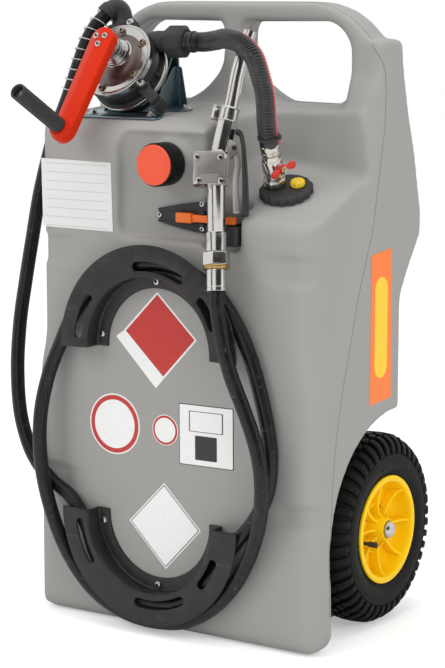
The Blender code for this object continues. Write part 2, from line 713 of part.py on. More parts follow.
def wing(side):
    """Side wing that carries the handle leg down to the wheel."""
    span = PLATFORM_Z - WAIST_Z
    front = [(WING_FRONT_Y + WING_DEPTH * y, WAIST_Z + span * z) for y, z in WING_FRONT_SHARES]
    back = [(WING_FRONT_Y + WING_DEPTH * y, WAIST_Z + span * z) for y, z in WING_REAR_SHARES]
    arch = []
    start = atan2(front[0][1] - WHEEL_RADIUS, front[0][0] - WHEEL_Y)
    for share in (0.75, 0.5, 0.25, 0.0):
        angle = start + (pi * 0.42 - start) * share
        arch.append((WHEEL_Y + WELL_RADIUS * cos(angle), WHEEL_RADIUS + WELL_RADIUS * sin(angle)))
    lower = [(REAR_Y, WAIST_Z)] + [p for p in arch if p[0] < REAR_Y]
    outline = back + lower + front + [(front[-1][0], back[0][1])]
    inner = TANK_HALF_WIDTH - LEG_WIDTH
    piece = flat("wing", outline, inner + SEAM_STEP, TANK_HALF_WIDTH - SEAM_STEP)
    place(piece, SIDEWAYS)
    if side < 0:
        place(piece, Matrix.Scale(-1, 4, (1, 0, 0)))
        piece.data.flip_normals()
    return piece


def handle_opening(side):
    """Outline of one grip opening in X and Z, drawn for the right side."""
    right = TANK_HALF_WIDTH - LEG_WIDTH
    top = LOOP_TOP_Z - LOOP_BAR
    centre = (right - OPENING_CORNER_RADIUS, top - OPENING_CORNER_RADIUS)
    offset = STRUT_X * side
    waist_z = top - STRUT_WAIST_DROP
    points = [(offset + STRUT_HALF_TOP, top)]
    rise = waist_z - OPENING_FLOOR_Z
    for share, flare_share in ((0.0, 0.0), (0.35, 0.12), (0.7, 0.42), (1.0, 1.0)):
        width = STRUT_HALF_WAIST + (STRUT_HALF_FOOT - STRUT_HALF_WAIST) * flare_share
        points.append((offset + width, waist_z - rise * share))
    points.append((right - OPENING_CORNER_RADIUS / 3, OPENING_FLOOR_Z))
    points.append((right, OPENING_FLOOR_Z + OPENING_CORNER_RADIUS / 3))
    points += arc(centre, OPENING_CORNER_RADIUS, 0, pi / 2, 5)
    return [(side * x, z) for x, z in points]


def handle_loop():
    half = TANK_HALF_WIDTH
    centre_x = half - LOOP_CORNER_RADIUS
    centre_z = LOOP_TOP_Z - LOOP_CORNER_RADIUS
    right = arc((centre_x, centre_z), LOOP_CORNER_RADIUS, 0, pi / 2, 8)
    left = [(-x, z) for x, z in reversed(right)]
    foot = platform_height(RIDGE_Y) - TOP_EDGE_RADIUS
    outline = [(half, foot)] + right + left + [(-half, foot)]
    loop = place(flat("handle_loop", outline, -LOOP_REAR_Y, -LOOP_FRONT_Y), FORWARDS)
    for side in (1, -1):
        hole = flat("grip_opening", handle_opening(side), -LOOP_REAR_Y - OVERRUN,
                    -LOOP_FRONT_Y + OVERRUN)
        cut(loop, place(hole, FORWARDS))
    return loop


def neck():
    """Boss and neck of the filler, along the frame of the filler."""
    start = -OVERRUN
    profile = [(0, NECK_LENGTH), (NECK_RADIUS, NECK_LENGTH), (NECK_RADIUS, BOSS_LENGTH),
               (BOSS_RADIUS - BOSS_LENGTH, BOSS_LENGTH), (BOSS_RADIUS, 0), (BOSS_RADIUS, start), (0, start)]
    return place(turned("neck", profile), FILLER_FRAME)


def make_tank():
    hollow = tank_block("hollow", WALL)
    keep(hollow, corner_rounding("hollow_plan", WALL))
    cut(hollow, shoulder_cutter("hollow_shoulder", WALL))
    cut(hollow, valley_cutter("hollow_valley", WALL))
    cut(hollow, filler_cutter("hollow_filler", WALL))
    for side in (1, -1):
        cut(hollow, well_cutter("hollow_well", side, WALL))
    cut(hollow, axle_tunnel("tunnel_wall", AXLE_RADIUS + RUNNING_CLEARANCE + WALL))

    tank = tank_block("tank", 0.0)
    keep(tank, corner_rounding("tank_plan", 0.0))
    for side in (1, -1):
        add(tank, wing(side))
    add(tank, handle_loop())
    cut(tank, shoulder_cutter("shoulder_space", 0.0))
    cut(tank, valley_cutter("valley_space", 0.0))
    cut(tank, filler_cutter("filler_space", 0.0))
    for side in (1, -1):
        cut(tank, well_cutter("wheel_well", side, 0.0))
    cut(tank, hollow)
    add(tank, neck())
    bore = cylinder("neck_bore", NECK_BORE, -WALL - OVERRUN, NECK_LENGTH + OVERRUN)
    cut(tank, place(bore, FILLER_FRAME))
    port = cylinder("suction_port", PORT_RADIUS, -WALL - OVERRUN, OVERRUN)
    cut(tank, place(port, SHOULDER_FRAME))
    cut(tank, axle_tunnel("axle_bore", AXLE_RADIUS + RUNNING_CLEARANCE))
    finish(tank, GREY)


def make_filler_cap():
    seat = NECK_LENGTH + GAP
    gasket = [(NECK_BORE + GAP, seat), (NECK_RADIUS - GAP, seat),
              (NECK_RADIUS - GAP, seat + GASKET_THICKNESS), (NECK_BORE + GAP, seat + GASKET_THICKNESS)]
    finish(place(turned("filler_gasket", gasket, 20, closed=True), FILLER_FRAME), RUBBER)
    roof = seat + GASKET_THICKNESS + GAP
    inner = CAP_RADIUS - CAP_SKIRT_WALL
    rim = roof + CAP_TOP - CAP_DEPTH
    face = roof + CAP_TOP
    skirt = [(0, face), (CAP_RADIUS, face), (CAP_RADIUS, rim), (inner, rim), (inner, roof), (0, roof)]
    finish(place(turned("filler_cap_skirt", skirt, 28), FILLER_FRAME), BLACK)
    disc = cylinder("filler_cap_disc", CAP_DISC_RADIUS, face + GAP, face + GAP + CAP_DISC_THICKNESS, 28)
    finish(place(disc, FILLER_FRAME), RED)


def make_wheel(side):
    name = "right" if side > 0 else "left"
    turn = Matrix.Identity(4) if side > 0 else Matrix.Rotation(pi, 4, 'Z')
    frame = Matrix.Translation((side * WHEEL_X, WHEEL_Y, WHEEL_RADIUS)) @ turn @ SIDEWAYS
    half = TYRE_WIDTH / 2
    seat = BEAD_RADIUS + GAP
    tread_share = 0.62
    tread = half * tread_share
    sidewall = (BEAD_RADIUS + WHEEL_RADIUS) / 2
    shoulder = WHEEL_RADIUS - (half - tread) / 2
    lip = RIM_RADIUS + GAP + GAP
    flange = HUB_LENGTH / 2
    bead = flange - CAP_SKIRT_WALL - GAP
    profile = [(WHEEL_RADIUS, -tread), (WHEEL_RADIUS, tread), (shoulder, half), (sidewall, half),
               (lip, bead), (seat, bead), (seat, -bead), (lip, -bead), (sidewall, -half),
               (shoulder, -half)]
    tyre = turned("tyre_" + name, profile, WHEEL_SEGMENTS, closed=True)
    finish(place(tyre, frame), RUBBER)

    bore = AXLE_RADIUS + RUNNING_CLEARANCE + BUSH_WALL + GAP
    wall = CAP_SKIRT_WALL
    disc = wall / 2
    rim_lip = flange - wall
    outline = [(bore, flange), (bore, -flange), (HUB_RADIUS, -flange), (HUB_RADIUS, -disc),
               (BEAD_RADIUS - wall, -disc), (BEAD_RADIUS - wall, -flange), (RIM_RADIUS, -flange),
               (RIM_RADIUS, -rim_lip), (BEAD_RADIUS, -rim_lip), (BEAD_RADIUS, rim_lip),
               (RIM_RADIUS, rim_lip), (RIM_RADIUS, flange), (BEAD_RADIUS - wall, flange),
               (BEAD_RADIUS - wall, disc), (HUB_RADIUS, disc), (HUB_RADIUS, flange)]
    finish(place(turned("rim_" + name, outline, WHEEL_SEGMENTS, closed=True), frame), YELLOW)

    inner = AXLE_RADIUS + RUNNING_CLEARANCE
    bush = [(inner, flange), (inner, -flange), (inner + BUSH_WALL, -flange), (inner + BUSH_WALL, flange)]
    finish(place(turned("bush_" + name, bush, 20, closed=True), frame), BLACK)

    start = flange + GAP
    cap = [(0, start), (AXLE_CAP_RADIUS, start), (AXLE_CAP_RADIUS, start + AXLE_CAP_LENGTH / 2),
           (AXLE_RADIUS, start + AXLE_CAP_LENGTH), (0, start + AXLE_CAP_LENGTH)]
    finish(place(turned("hub_cap_" + name, cap, 20), frame), STEEL)


def make_axle():
    half = WHEEL_X + HUB_LENGTH / 2
    axle = cylinder("axle", AXLE_RADIUS, -half, half, 16)
    finish(place(axle, Matrix.Translation((0, WHEEL_Y, WHEEL_RADIUS)) @ SIDEWAYS), STEEL)


def make_pump():
    back = -COVER_THICKNESS - GAP - BODY_LENGTH
    front = -COVER_THICKNESS - GAP
    body = cylinder("pump_body", DRUM_RADIUS, back, front - FLANGE_LENGTH / 2, 28)
    add(body, cylinder("body_flange", BODY_RADIUS, front - FLANGE_LENGTH, front, 28))
    inlet = place(cylinder("inlet_boss", INLET_BOSS_RADIUS, 0, STUB_LEFT_X - PUMP_PLACE[0] - GAP),
                  SIDEWAYS)
    to_local = PUMP_FRAME.inverted()
    port = to_local @ Vector((PUMP_PLACE[0], UNION_Y, UNION_Z))
    across = to_local.to_3x3().to_4x4()
    place(inlet, Matrix.Translation(port) @ across)
    add(body, inlet)
    corner = UNION_HALF_FLATS / cos(pi / 8) + SHEET_CLEARANCE
    relief = cylinder("nut_relief", corner, STUB_LEFT_X - PUMP_PLACE[0] - GAP, BODY_RADIUS + OVERRUN, 16)
    cut(body, place(relief, Matrix.Translation(port) @ across @ SIDEWAYS))
    outlet = cylinder("outlet_boss", OUTLET_BOSS_RADIUS, 0, OUTLET_LOCAL_Y + OUTLET_BOSS_LENGTH)
    place(outlet, Matrix.Translation((OUTLET_X, 0, OUTLET_LOCAL_Z)) @ Matrix.Rotation(-pi / 2, 4, 'X'))
    add(body, outlet)
    chamber = cylinder("chamber", CHAMBER_RADIUS, front - CHAMBER_DEPTH, front + OVERRUN, 28)
    cut(body, chamber)
    socket = cylinder("shaft_socket", SHAFT_RADIUS + RUNNING_CLEARANCE,
                      front - CHAMBER_DEPTH - COVER_THICKNESS / 2, front - CHAMBER_DEPTH + OVERRUN, 20)
    cut(body, place(socket, Matrix.Translation((0, SHAFT_OFFSET, 0))))
    way_in = place(cylinder("way_in", STUB_BORE, 0, BODY_RADIUS + OVERRUN, 16), SIDEWAYS)
    cut(body, place(way_in, Matrix.Translation(port) @ across))
    way_out = cylinder("way_out", ELBOW_BORE, 0, OUTLET_LOCAL_Y + OUTLET_BOSS_LENGTH + OVERRUN, 16)
    place(way_out, Matrix.Translation((OUTLET_X, 0, OUTLET_LOCAL_Z)) @ Matrix.Rotation(-pi / 2, 4, 'X'))
    cut(body, way_out)
    finish(place_group(body, PUMP_FRAME), BLACK)

    rim = COVER_THICKNESS / 3
    cover = turned("pump_cover", [(0, 0), (COVER_RADIUS - rim, 0), (COVER_RADIUS, -rim),
                                  (COVER_RADIUS, -COVER_THICKNESS), (0, -COVER_THICKNESS)], 20)
    boss = cylinder("shaft_boss", SHAFT_BOSS_RADIUS, -COVER_THICKNESS / 2, BOSS_FRONT, 28,
                    SHAFT_BOSS_RADIUS - BOSS_FRONT / 3)
    add(cover, place(boss, Matrix.Translation((0, SHAFT_OFFSET, 0))))
    hole = cylinder("cover_bore", SHAFT_RADIUS + RUNNING_CLEARANCE, -COVER_THICKNESS - OVERRUN,
                    BOSS_FRONT + OVERRUN, 20)
    cut(cover, place(hole, Matrix.Translation((0, SHAFT_OFFSET, 0))))
    finish(place_group(cover, PUMP_FRAME), CHROME)


def place_group(item, matrix):
    """Move a part and the tools of its Boolean steps together, then settle it."""
    item = settle(item)
    return place(item, matrix)


def make_rotor():
    front = -COVER_THICKNESS - GAP
    rear = front - CHAMBER_DEPTH
    clear = (CHAMBER_DEPTH - ROTOR_LENGTH) / 2
    rotor = cylinder("pump_rotor", ROTOR_RADIUS, rear + clear, front - clear, 32)
    cut(rotor, cylinder("rotor_bore", SHAFT_RADIUS + GAP, rear - OVERRUN, front + OVERRUN, 16))
    half_slot = VANE_THICKNESS / 2 + GAP
    slot_floor = ROTOR_RADIUS - VANE_HEIGHT - GAP
    for side in (1, -1):
        edges = sorted((side * slot_floor, side * (ROTOR_RADIUS + OVERRUN)))
        slot = box("vane_slot", (edges[0], -half_slot, rear - OVERRUN),
                   (edges[1], half_slot, front + OVERRUN))
        cut(rotor, slot)
    finish(place_group(rotor, SHAFT_FRAME), STEEL)
    for name, side in (("pump_vane_left", -1), ("pump_vane_right", 1)):
        ends = sorted((side * (slot_floor + GAP), side * (ROTOR_RADIUS - GAP)))
        vane = box(name, (ends[0], -VANE_THICKNESS / 2, rear + clear),
                   (ends[1], VANE_THICKNESS / 2, front - clear))
        finish(place(vane, SHAFT_FRAME), BLACK)
    shaft_end = rear - COVER_THICKNESS / 2 + GAP
    shaft = cylinder("pump_shaft", SHAFT_RADIUS, shaft_end, SHAFT_FRONT, 16)
    finish(place(shaft, SHAFT_FRAME), STEEL)


def make_crank():
    hub_back = SHAFT_FRONT - CRANK_HUB_LENGTH
    hub_end = SHAFT_FRONT + GAP
    hub = turned("crank_hub", [(0, hub_end + CRANK_WALL), (CRANK_HUB_RADIUS, hub_end + CRANK_WALL),
                               (CRANK_HUB_RADIUS, hub_back), (SHAFT_RADIUS + GAP, hub_back),
                               (SHAFT_RADIUS + GAP, hub_end), (0, hub_end)], 20)
    finish(place(hub, CRANK_FRAME), STEEL)

    low = hub_end + CRANK_WALL + GAP
    high = low + CRANK_DEPTH
    width = CRANK_HALF_WIDTH
    outline = arc((0, 0), width, pi / 2, pi * 3 / 2, 8)
    outline += arc((CRANK_REACH, 0), width, -pi / 2, pi / 2, 8)
    arm = flat("crank_arm", outline, low, high)
    near, far, inner = width + CRANK_WALL, CRANK_REACH - width - CRANK_WALL, width - CRANK_WALL
    cut(arm, flat("arm_hollow", [(near, -inner), (far, -inner), (far, inner), (near, inner)],
                  low - OVERRUN, high - CRANK_WALL))
    collar = cylinder("grip_collar", GRIP_RADIUS + CRANK_WALL / 2, high - CRANK_WALL / 2, high + GRIP_SEAT, 28)
    add(arm, place(collar, Matrix.Translation((CRANK_REACH, 0, 0))))
    hole = cylinder("pin_hole", GRIP_PIN_RADIUS + GAP, low - OVERRUN, high + GRIP_SEAT + OVERRUN, 16)
    cut(arm, place(hole, Matrix.Translation((CRANK_REACH, 0, 0))))
    finish(place_group(arm, CRANK_FRAME), RED)

    grip_frame = CRANK_FRAME @ Matrix.Translation((CRANK_REACH, 0, 0))
    start = high + GRIP_SEAT + GAP
    end = start + GRIP_LENGTH
    pin_end = end - GRIP_MOUTH_DEPTH + GAP
    pin = turned("grip_pin", [(0, pin_end + PIN_HEAD_LENGTH), (PIN_HEAD_RADIUS, pin_end + PIN_HEAD_LENGTH),
                              (PIN_HEAD_RADIUS, pin_end), (GRIP_PIN_RADIUS, pin_end),
                              (GRIP_PIN_RADIUS, low + CRANK_WALL / 2), (0, low + CRANK_WALL / 2)], 20)
    finish(place(pin, grip_frame), STEEL)
    mouth = end - GRIP_MOUTH_DEPTH
    grip = turned("crank_grip", [(GRIP_RADIUS, end), (GRIP_RADIUS, start), (GRIP_BORE, start),
                                 (GRIP_BORE, mouth), (GRIP_MOUTH_RADIUS, mouth), (GRIP_MOUTH_RADIUS, end)],
                  28, closed=True)
    finish(place(grip, grip_frame), BLACK)


def make_bracket():
    """Folded sheet bracket: a base on the platform, a back and a sloping rest for the pump."""
    sheet = BRACKET_SHEET
    frame = (Matrix.Translation((0, PLATFORM_Y, PLATFORM_Z + GAP)) @ Matrix.Rotation(PLATFORM_TILT, 4, 'X'))
    base = box("pump_bracket", (BRACKET_LEFT_X, BRACKET_FRONT_Y - PLATFORM_Y, 0),
               (BRACKET_RIGHT_X, (BRACKET_REAR_Y - PLATFORM_Y) / cos(PLATFORM_TILT), sheet))
    place(base, frame)
    half = BRACKET_BACK_HALF_WIDTH
    foot = platform_height(BRACKET_REAR_Y) + sheet / 2
    back = box("bracket_back", (BRACKET_X - half, BRACKET_REAR_Y - sheet, foot),
               (BRACKET_X + half, BRACKET_REAR_Y, BRACKET_BACK_TOP_Z))
    add(base, back)
    rear = -COVER_THICKNESS - GAP - BODY_LENGTH - GAP
    length = BRACKET_REST_LENGTH
    rest = box("bracket_rest", (BRACKET_X - half - PUMP_PLACE[0], -length, rear - sheet),
               (BRACKET_X + half - PUMP_PLACE[0], length + sheet, rear))
    add(base, place(rest, PUMP_FRAME))
    trim_y = BRACKET_REAR_Y + OVERRUN + OVERRUN
    ground = box("bracket_trim", (BRACKET_LEFT_X - OVERRUN, -OVERRUN, -length),
                 (BRACKET_RIGHT_X + OVERRUN, trim_y - PLATFORM_Y, 0))
    cut(base, place(ground, frame))
    behind = box("bracket_behind", (BRACKET_LEFT_X - OVERRUN, BRACKET_REAR_Y, PLATFORM_Z - OVERRUN),
                 (BRACKET_RIGHT_X + OVERRUN, trim_y, LOOP_TOP_Z))
    cut(base, behind)
    finish(settle(base), ZINC)


def make_union():
    frame = Matrix.Translation((0, UNION_Y, UNION_Z)) @ SIDEWAYS
    stub = turned("inlet_stub", [(STUB_RADIUS, STUB_LEFT_X), (STUB_BORE, STUB_LEFT_X),
                                 (STUB_BORE, BARB_END_X), (BARB_RADIUS, BARB_END_X),
                                 (BARB_RADIUS, UNION_RIGHT_X), (STUB_RADIUS, UNION_RIGHT_X)],
                  24, closed=True)
    finish(place(stub, frame), BLACK)
    corner = UNION_HALF_FLATS / cos(pi / 8)
    nut = cylinder("union_nut", corner, UNION_LEFT_X, UNION_RIGHT_X, 8, turn=pi / 8)
    cut(nut, cylinder("union_bore", STUB_RADIUS + GAP, UNION_LEFT_X - OVERRUN, UNION_RIGHT_X + OVERRUN, 16))
    bevel = nut.modifiers.new("chamfer", 'BEVEL')
    bevel.width = SPOOL_SHEET
    bevel.segments = 1
    bevel.limit_method = 'ANGLE'
    bevel.angle_limit = radians(60)
    finish(place_group(nut, frame), BLACK)


def valve_point(height):
    return VALVE_FRAME @ Vector((0, 0, height))


def make_suction_hose():
    """Ribbed hose from the union to the tail of the valve, with its bore."""
    top = SUCTION_SEAL + GAP + SUCTION_CAP_HEIGHT + GAP + VALVE_HEIGHT
    end = valve_point(top + GAP)
    start = Vector((UNION_RIGHT_X + GAP, UNION_Y, UNION_Z))
    runs = [SUCTION_RADIUS * share for share in STRAIGHT_SHARES]
    out = [tuple(start + Vector((run, 0, 0))) for run in runs]
    back = [tuple(valve_point(top + GAP + run)) for run in reversed(runs)]
    route = out + [(x, y, UNION_Z - drop) for x, y, drop in SUCTION_ROUTE_DROPS] + back
    ribs, length = smooth_route(route, 2 * SUCTION_RIBS + 1)
    radii = [SUCTION_RADIUS - SUCTION_RIB * (i % 2) for i in range(len(ribs))]
    hose = tube("suction_hose", ribs, SUCTION_RADIUS, SUCTION_CURVE_SEGMENTS, radii)
    core, _ = smooth_route(route, SUCTION_RIBS // 2)
    step_in = (core[1] - core[0]).normalized() * OVERRUN
    step_out = (core[-1] - core[-2]).normalized() * OVERRUN
    core = [core[0] - step_in] + core + [core[-1] + step_out]
    cut(hose, tube("suction_bore", core, SUCTION_BORE, SUCTION_CURVE_SEGMENTS))
    finish(settle(hose), RUBBER)
    for name, at in (("hose_tie_upper", TIE_INSET), ("hose_tie_lower", length - TIE_INSET)):
        share = at / length * (len(ribs) - 1)
        spot = ribs[int(share)].lerp(ribs[int(share) + 1], share - int(share))
        along = (ribs[int(share) + 1] - ribs[int(share)]).normalized()
        inner = SUCTION_RADIUS + GAP
        outer = inner + TIE_THICKNESS
        half = TIE_WIDTH / 2
        tie = turned(name, [(inner, half), (inner, -half), (outer, -half), (outer, half)], 20, closed=True)
        frame = Matrix.Translation(spot) @ Vector((0, 0, 1)).rotation_difference(along).to_matrix().to_4x4()
        finish(place(tie, frame), BLACK)


def make_suction_cap():
    seal_top = SUCTION_SEAL
    seal = turned("suction_seal", [(PORT_RADIUS + GAP, GAP), (SUCTION_CAP_RADIUS - SCALLOP_RADIUS * 2, GAP),
                                   (SUCTION_CAP_RADIUS - SCALLOP_RADIUS * 2, seal_top),
                                   (PORT_RADIUS + GAP, seal_top)], 32, closed=True)
    finish(place(seal, SHOULDER_FRAME), RUBBER)
    base = SUCTION_SEAL + GAP
    top = base + SUCTION_CAP_HEIGHT
    spigot = -PORT_SPIGOT_LENGTH
    profile = [(0, top), (SUCTION_CAP_RADIUS - SCALLOP_RADIUS, top), (SUCTION_CAP_RADIUS, top - SCALLOP_RADIUS),
               (SUCTION_CAP_RADIUS, base), (PORT_SPIGOT_RADIUS - GAP, base),
               (PORT_SPIGOT_RADIUS - GAP, spigot), (0, spigot)]
    cap = turned("suction_cap", profile, 28)
    for i in range(SUCTION_CAP_SCALLOPS):
        angle = 2 * pi * i / SUCTION_CAP_SCALLOPS
        notch = cylinder("scallop", SCALLOP_RADIUS, base - OVERRUN / 2, top + OVERRUN, 6)
        reach = SUCTION_CAP_RADIUS + SCALLOP_RADIUS / 2
        place(notch, Matrix.Translation((reach * cos(angle), reach * sin(angle), 0)))
        cut(cap, notch)
    way = cylinder("cap_way", VALVE_BORE, spigot - OVERRUN, top + OVERRUN, 16)
    cut(cap, place(way, Matrix.Translation((VALVE_X, VALVE_Y, 0))))
    hole = cylinder("vent_way", VENT_STEM_RADIUS + GAP, spigot - OVERRUN, top + OVERRUN, 16)
    cut(cap, place(hole, Matrix.Translation((VENT_X, VENT_Y, 0))))
    finish(place_group(cap, SHOULDER_FRAME), BLACK)

    start = top + GAP
    vent = turned("vent_plug", [(0, start + VENT_HEIGHT), (VENT_RADIUS * 0.8, start + VENT_HEIGHT),
                                (VENT_RADIUS, start + VENT_HEIGHT / 2), (VENT_RADIUS, start),
                                (VENT_STEM_RADIUS, start), (VENT_STEM_RADIUS, start - VENT_STEM_LENGTH),
                                (0, start - VENT_STEM_LENGTH)], 20)
    finish(place(vent, SHOULDER_FRAME @ Matrix.Translation((VENT_X, VENT_Y, 0))), YELLOW)
    return start


def make_valve(start):
    top = start + VALVE_HEIGHT
    centre = start + VALVE_BALL_HEIGHT
    collar = start + VALVE_COLLAR_HEIGHT
    chest = VALVE_BALL_RADIUS + BUSH_WALL
    profile = [(0, top + VALVE_TAIL_LENGTH), (BARB_RADIUS, top + VALVE_TAIL_LENGTH), (BARB_RADIUS, top),
               (VALVE_WAIST_RADIUS, top), (VALVE_WAIST_RADIUS, centre + chest),
               (VALVE_CHEST_RADIUS, centre + VALVE_BALL_RADIUS), (VALVE_CHEST_RADIUS, centre - VALVE_BALL_RADIUS),
               (VALVE_WAIST_RADIUS, collar), (VALVE_COLLAR_RADIUS, collar), (VALVE_COLLAR_RADIUS, start),
               (0, start)]
    body = turned("valve_body", profile, 14)
    clear = VALVE_BALL_RADIUS + BALL_CLEARANCE
    mesh = bpy.data.meshes.new("ball_seat")
    shape = bmesh.new()
    bmesh.ops.create_uvsphere(shape, u_segments=16, v_segments=10, radius=clear)
    shape.to_mesh(mesh)
    shape.free()
    seat = link_mesh("ball_seat", mesh)
    cut(body, place(seat, Matrix.Translation((0, 0, centre))))
    cut(body, cylinder("valve_way", VALVE_BORE, start - OVERRUN, top + VALVE_TAIL_LENGTH + OVERRUN, 16))
    turn = Matrix.Rotation(VALVE_TURN, 4, 'Z')
    out = Matrix.Translation((0, 0, centre)) @ turn @ Matrix.Rotation(pi / 2, 4, 'X')
    stem_way = cylinder("stem_way", VALVE_STEM_RADIUS + RUNNING_CLEARANCE, 0, VALVE_STEM_REACH, 16)
    cut(body, place(stem_way, out))
    finish(place_group(body, VALVE_FRAME), BRASS_NICKEL)

    mesh = bpy.data.meshes.new("valve_ball")
    shape = bmesh.new()
    bmesh.ops.create_uvsphere(shape, u_segments=16, v_segments=10, radius=VALVE_BALL_RADIUS)
    shape.to_mesh(mesh)
    shape.free()
    ball = link_mesh("valve_ball", mesh)
    reach = 2 * VALVE_BALL_RADIUS
    cut(ball, cylinder("ball_way", VALVE_BORE, -reach, reach, 16))
    dent = VALVE_BALL_RADIUS - CRANK_WALL
    flat_cut = box("ball_flat", (-reach, -reach, -reach), (reach, -dent + GAP, reach))
    cut(ball, place(flat_cut, turn))
    finish(place_group(ball, VALVE_FRAME @ Matrix.Translation((0, 0, centre))), CHROME)

    frame = VALVE_FRAME @ out
    stem = cylinder("valve_stem", VALVE_STEM_RADIUS, dent, VALVE_STEM_REACH, 16)
    finish(place(stem, frame), STEEL)
    seat_height = VALVE_COLLAR_RADIUS + GAP + GAP
    half = VALVE_HANDLE_HEIGHT / 2
    wing_plate = flat("valve_handle", butterfly_outline(VALVE_HANDLE_REACH, half), seat_height,
                      seat_height + VALVE_HANDLE_THICKNESS)
    cut(wing_plate, cylinder("handle_hole", VALVE_STEM_RADIUS + GAP, seat_height - OVERRUN,
                             seat_height + OVERRUN, 16))
    finish(place_group(wing_plate, frame), RED)
    nut_start = seat_height + VALVE_HANDLE_THICKNESS + GAP
    nut = cylinder("valve_nut", VALVE_NUT_RADIUS, nut_start, nut_start + VALVE_NUT_HEIGHT, 6)
    cut(nut, cylinder("nut_hole", VALVE_STEM_RADIUS + GAP, nut_start - OVERRUN, nut_start + OVERRUN, 16))
    finish(place_group(nut, frame), BRASS)


def butterfly_outline(reach, half):
    """Two lobes either side of a round hub, along local X."""
    right = arc((reach - half, 0), half, -pi / 2, pi / 2, 6)
    waist_share = 0.55
    neck_x = reach * 0.5
    upper = [(neck_x, half * waist_share), (half, half)]
    lower = [(half, -half), (neck_x, -half * waist_share)]
    points = lower + right + upper
    return points + [(-x, -y) for x, y in points]


def make_dip_tube():
    start = SHOULDER_FRAME @ Vector((VALVE_X, VALVE_Y, -PORT_SPIGOT_LENGTH - GAP))
    below = SHOULDER_FRAME @ Vector((VALVE_X, VALVE_Y, -PORT_SPIGOT_LENGTH - DIP_RADIUS))
    route = [tuple(start), tuple(below)] + DIP_ROUTE
    points, _ = smooth_route(route, 14)
    points = square_ends(points, (below - start).normalized(), Vector((0, 0, -1)), 2 * DIP_RADIUS)
    pipe = tube("dip_tube", points, DIP_RADIUS, 2)
    lead = (points[0] - points[1]).normalized() * OVERRUN
    hollow = [points[0] + lead] + points + [points[-1] - Vector((0, 0, OVERRUN))]
    cut(pipe, tube("dip_bore", hollow, DIP_RADIUS - DIP_WALL, 2))
    finish(settle(pipe), BLACK)
    foot = DIP_ROUTE[-1]
    floor = WALL + STRAINER_FLOOR_GAP
    strainer = cylinder("foot_strainer", STRAINER_RADIUS, floor, foot[2] - GAP, 16)
    way = cylinder("strainer_way", DIP_RADIUS - DIP_WALL, floor + DIP_WALL, foot[2] + OVERRUN, 16)
    cut(strainer, way)
    for i in range(3):
        slot = box("strainer_slot", (-STRAINER_RADIUS - OVERRUN, -DIP_WALL, floor + DIP_WALL * 2),
                   (STRAINER_RADIUS + OVERRUN, DIP_WALL, foot[2] - DIP_WALL * 4))
        cut(strainer, place(slot, Matrix.Rotation(pi * i / 3, 4, 'Z')))
    finish(place_group(strainer, Matrix.Translation((foot[0], foot[1], 0))), BLACK)


def make_outlet():
    """Elbow on top of the pump, with the start of the delivery hose in its mouth."""
    foot = PUMP_FRAME @ Vector((OUTLET_X, OUTLET_LOCAL_Y + OUTLET_BOSS_LENGTH + GAP, OUTLET_LOCAL_Z))
    up = (PUMP_FRAME.to_3x3() @ Vector((0, 1, 0))).normalized()
    mouth = Vector(laid(HOSE_ROUTE[0]))
    lead = (mouth - Vector(laid(HOSE_ROUTE[1]))).normalized()
    first = foot + up * ELBOW_RADIUS / 2
    last = mouth + lead * ELBOW_RADIUS / 2
    points = [foot]
    for i in range(9):
        t = i / 8
        a = first.lerp(foot + up * 2 * ELBOW_RADIUS, t)
        b = (foot + up * 2 * ELBOW_RADIUS).lerp(mouth + lead * 2 * ELBOW_RADIUS, t)
        c = (mouth + lead * 2 * ELBOW_RADIUS).lerp(last, t)
        points.append(a.lerp(b, t).lerp(b.lerp(c, t), t))
    points.append(mouth + lead * GAP)
    elbow = tube("outlet_elbow", points, ELBOW_RADIUS, 3)
    bore = [foot - up * OVERRUN] + points[1:-1] + [mouth - lead * OVERRUN]
    cut(elbow, tube("elbow_bore", bore, ELBOW_BORE, 3))
    finish(settle(elbow), BLACK)


def make_delivery_hose():
    end = NOZZLE_FRAME @ Vector((0, 0, -GAP))
    before = NOZZLE_FRAME @ Vector((0, 0, -2 * HOSE_RADIUS))
    route = [laid(p) for p in HOSE_ROUTE[:-1]] + [tuple(before), tuple(end)]
    points, length = smooth_route(route, HOSE_POINTS)
    start_lead = (Vector(route[1]) - Vector(route[0])).normalized()
    end_lead = (end - before).normalized()
    points = square_ends(points, start_lead, end_lead, 2 * HOSE_RADIUS)
    print("delivery hose length", round(length, 3))
    finish(tube("delivery_hose", points, HOSE_RADIUS, 2), RUBBER)
    make_spring_guard(points)


def walk(points, distance):
    """Place at a distance along straight steps between points."""
    for a, b in zip(points, points[1:]):
        step = (b - a).length
        if distance <= step:
            return a.lerp(b, distance / step)
        distance -= step
    return points[-1]


def make_spring_guard(points):
    """Wire helix round the first stretch of the delivery hose."""
    wire = []
    radius = HOSE_RADIUS + GUARD_WIRE_RADIUS + GUARD_CLEARANCE
    side = Vector((0, 0, 1))
    count = GUARD_TURNS * GUARD_POINTS_PER_TURN
    for i in range(count + 1):
        at = GUARD_START + GUARD_LENGTH * i / count
        spot = walk(points, at)
        along = (walk(points, at + HOSE_RADIUS) - walk(points, max(at - HOSE_RADIUS, 0))).normalized()
        side = (side - along * side.dot(along)).normalized()
        other = along.cross(side)
        angle = 2 * pi * i / GUARD_POINTS_PER_TURN
        wire.append(spot + side * radius * cos(angle) + other * radius * sin(angle))
    gap = min((wire[i] - wire[j]).length for i in range(len(wire))
              for j in range(i + GUARD_POINTS_PER_TURN - 1, min(len(wire), i + GUARD_POINTS_PER_TURN + 2)))
    print("spring guard least gap", round(gap - 2 * GUARD_WIRE_RADIUS, 4))
    finish(tube("spring_guard", wire, GUARD_WIRE_RADIUS, 1), STEEL)


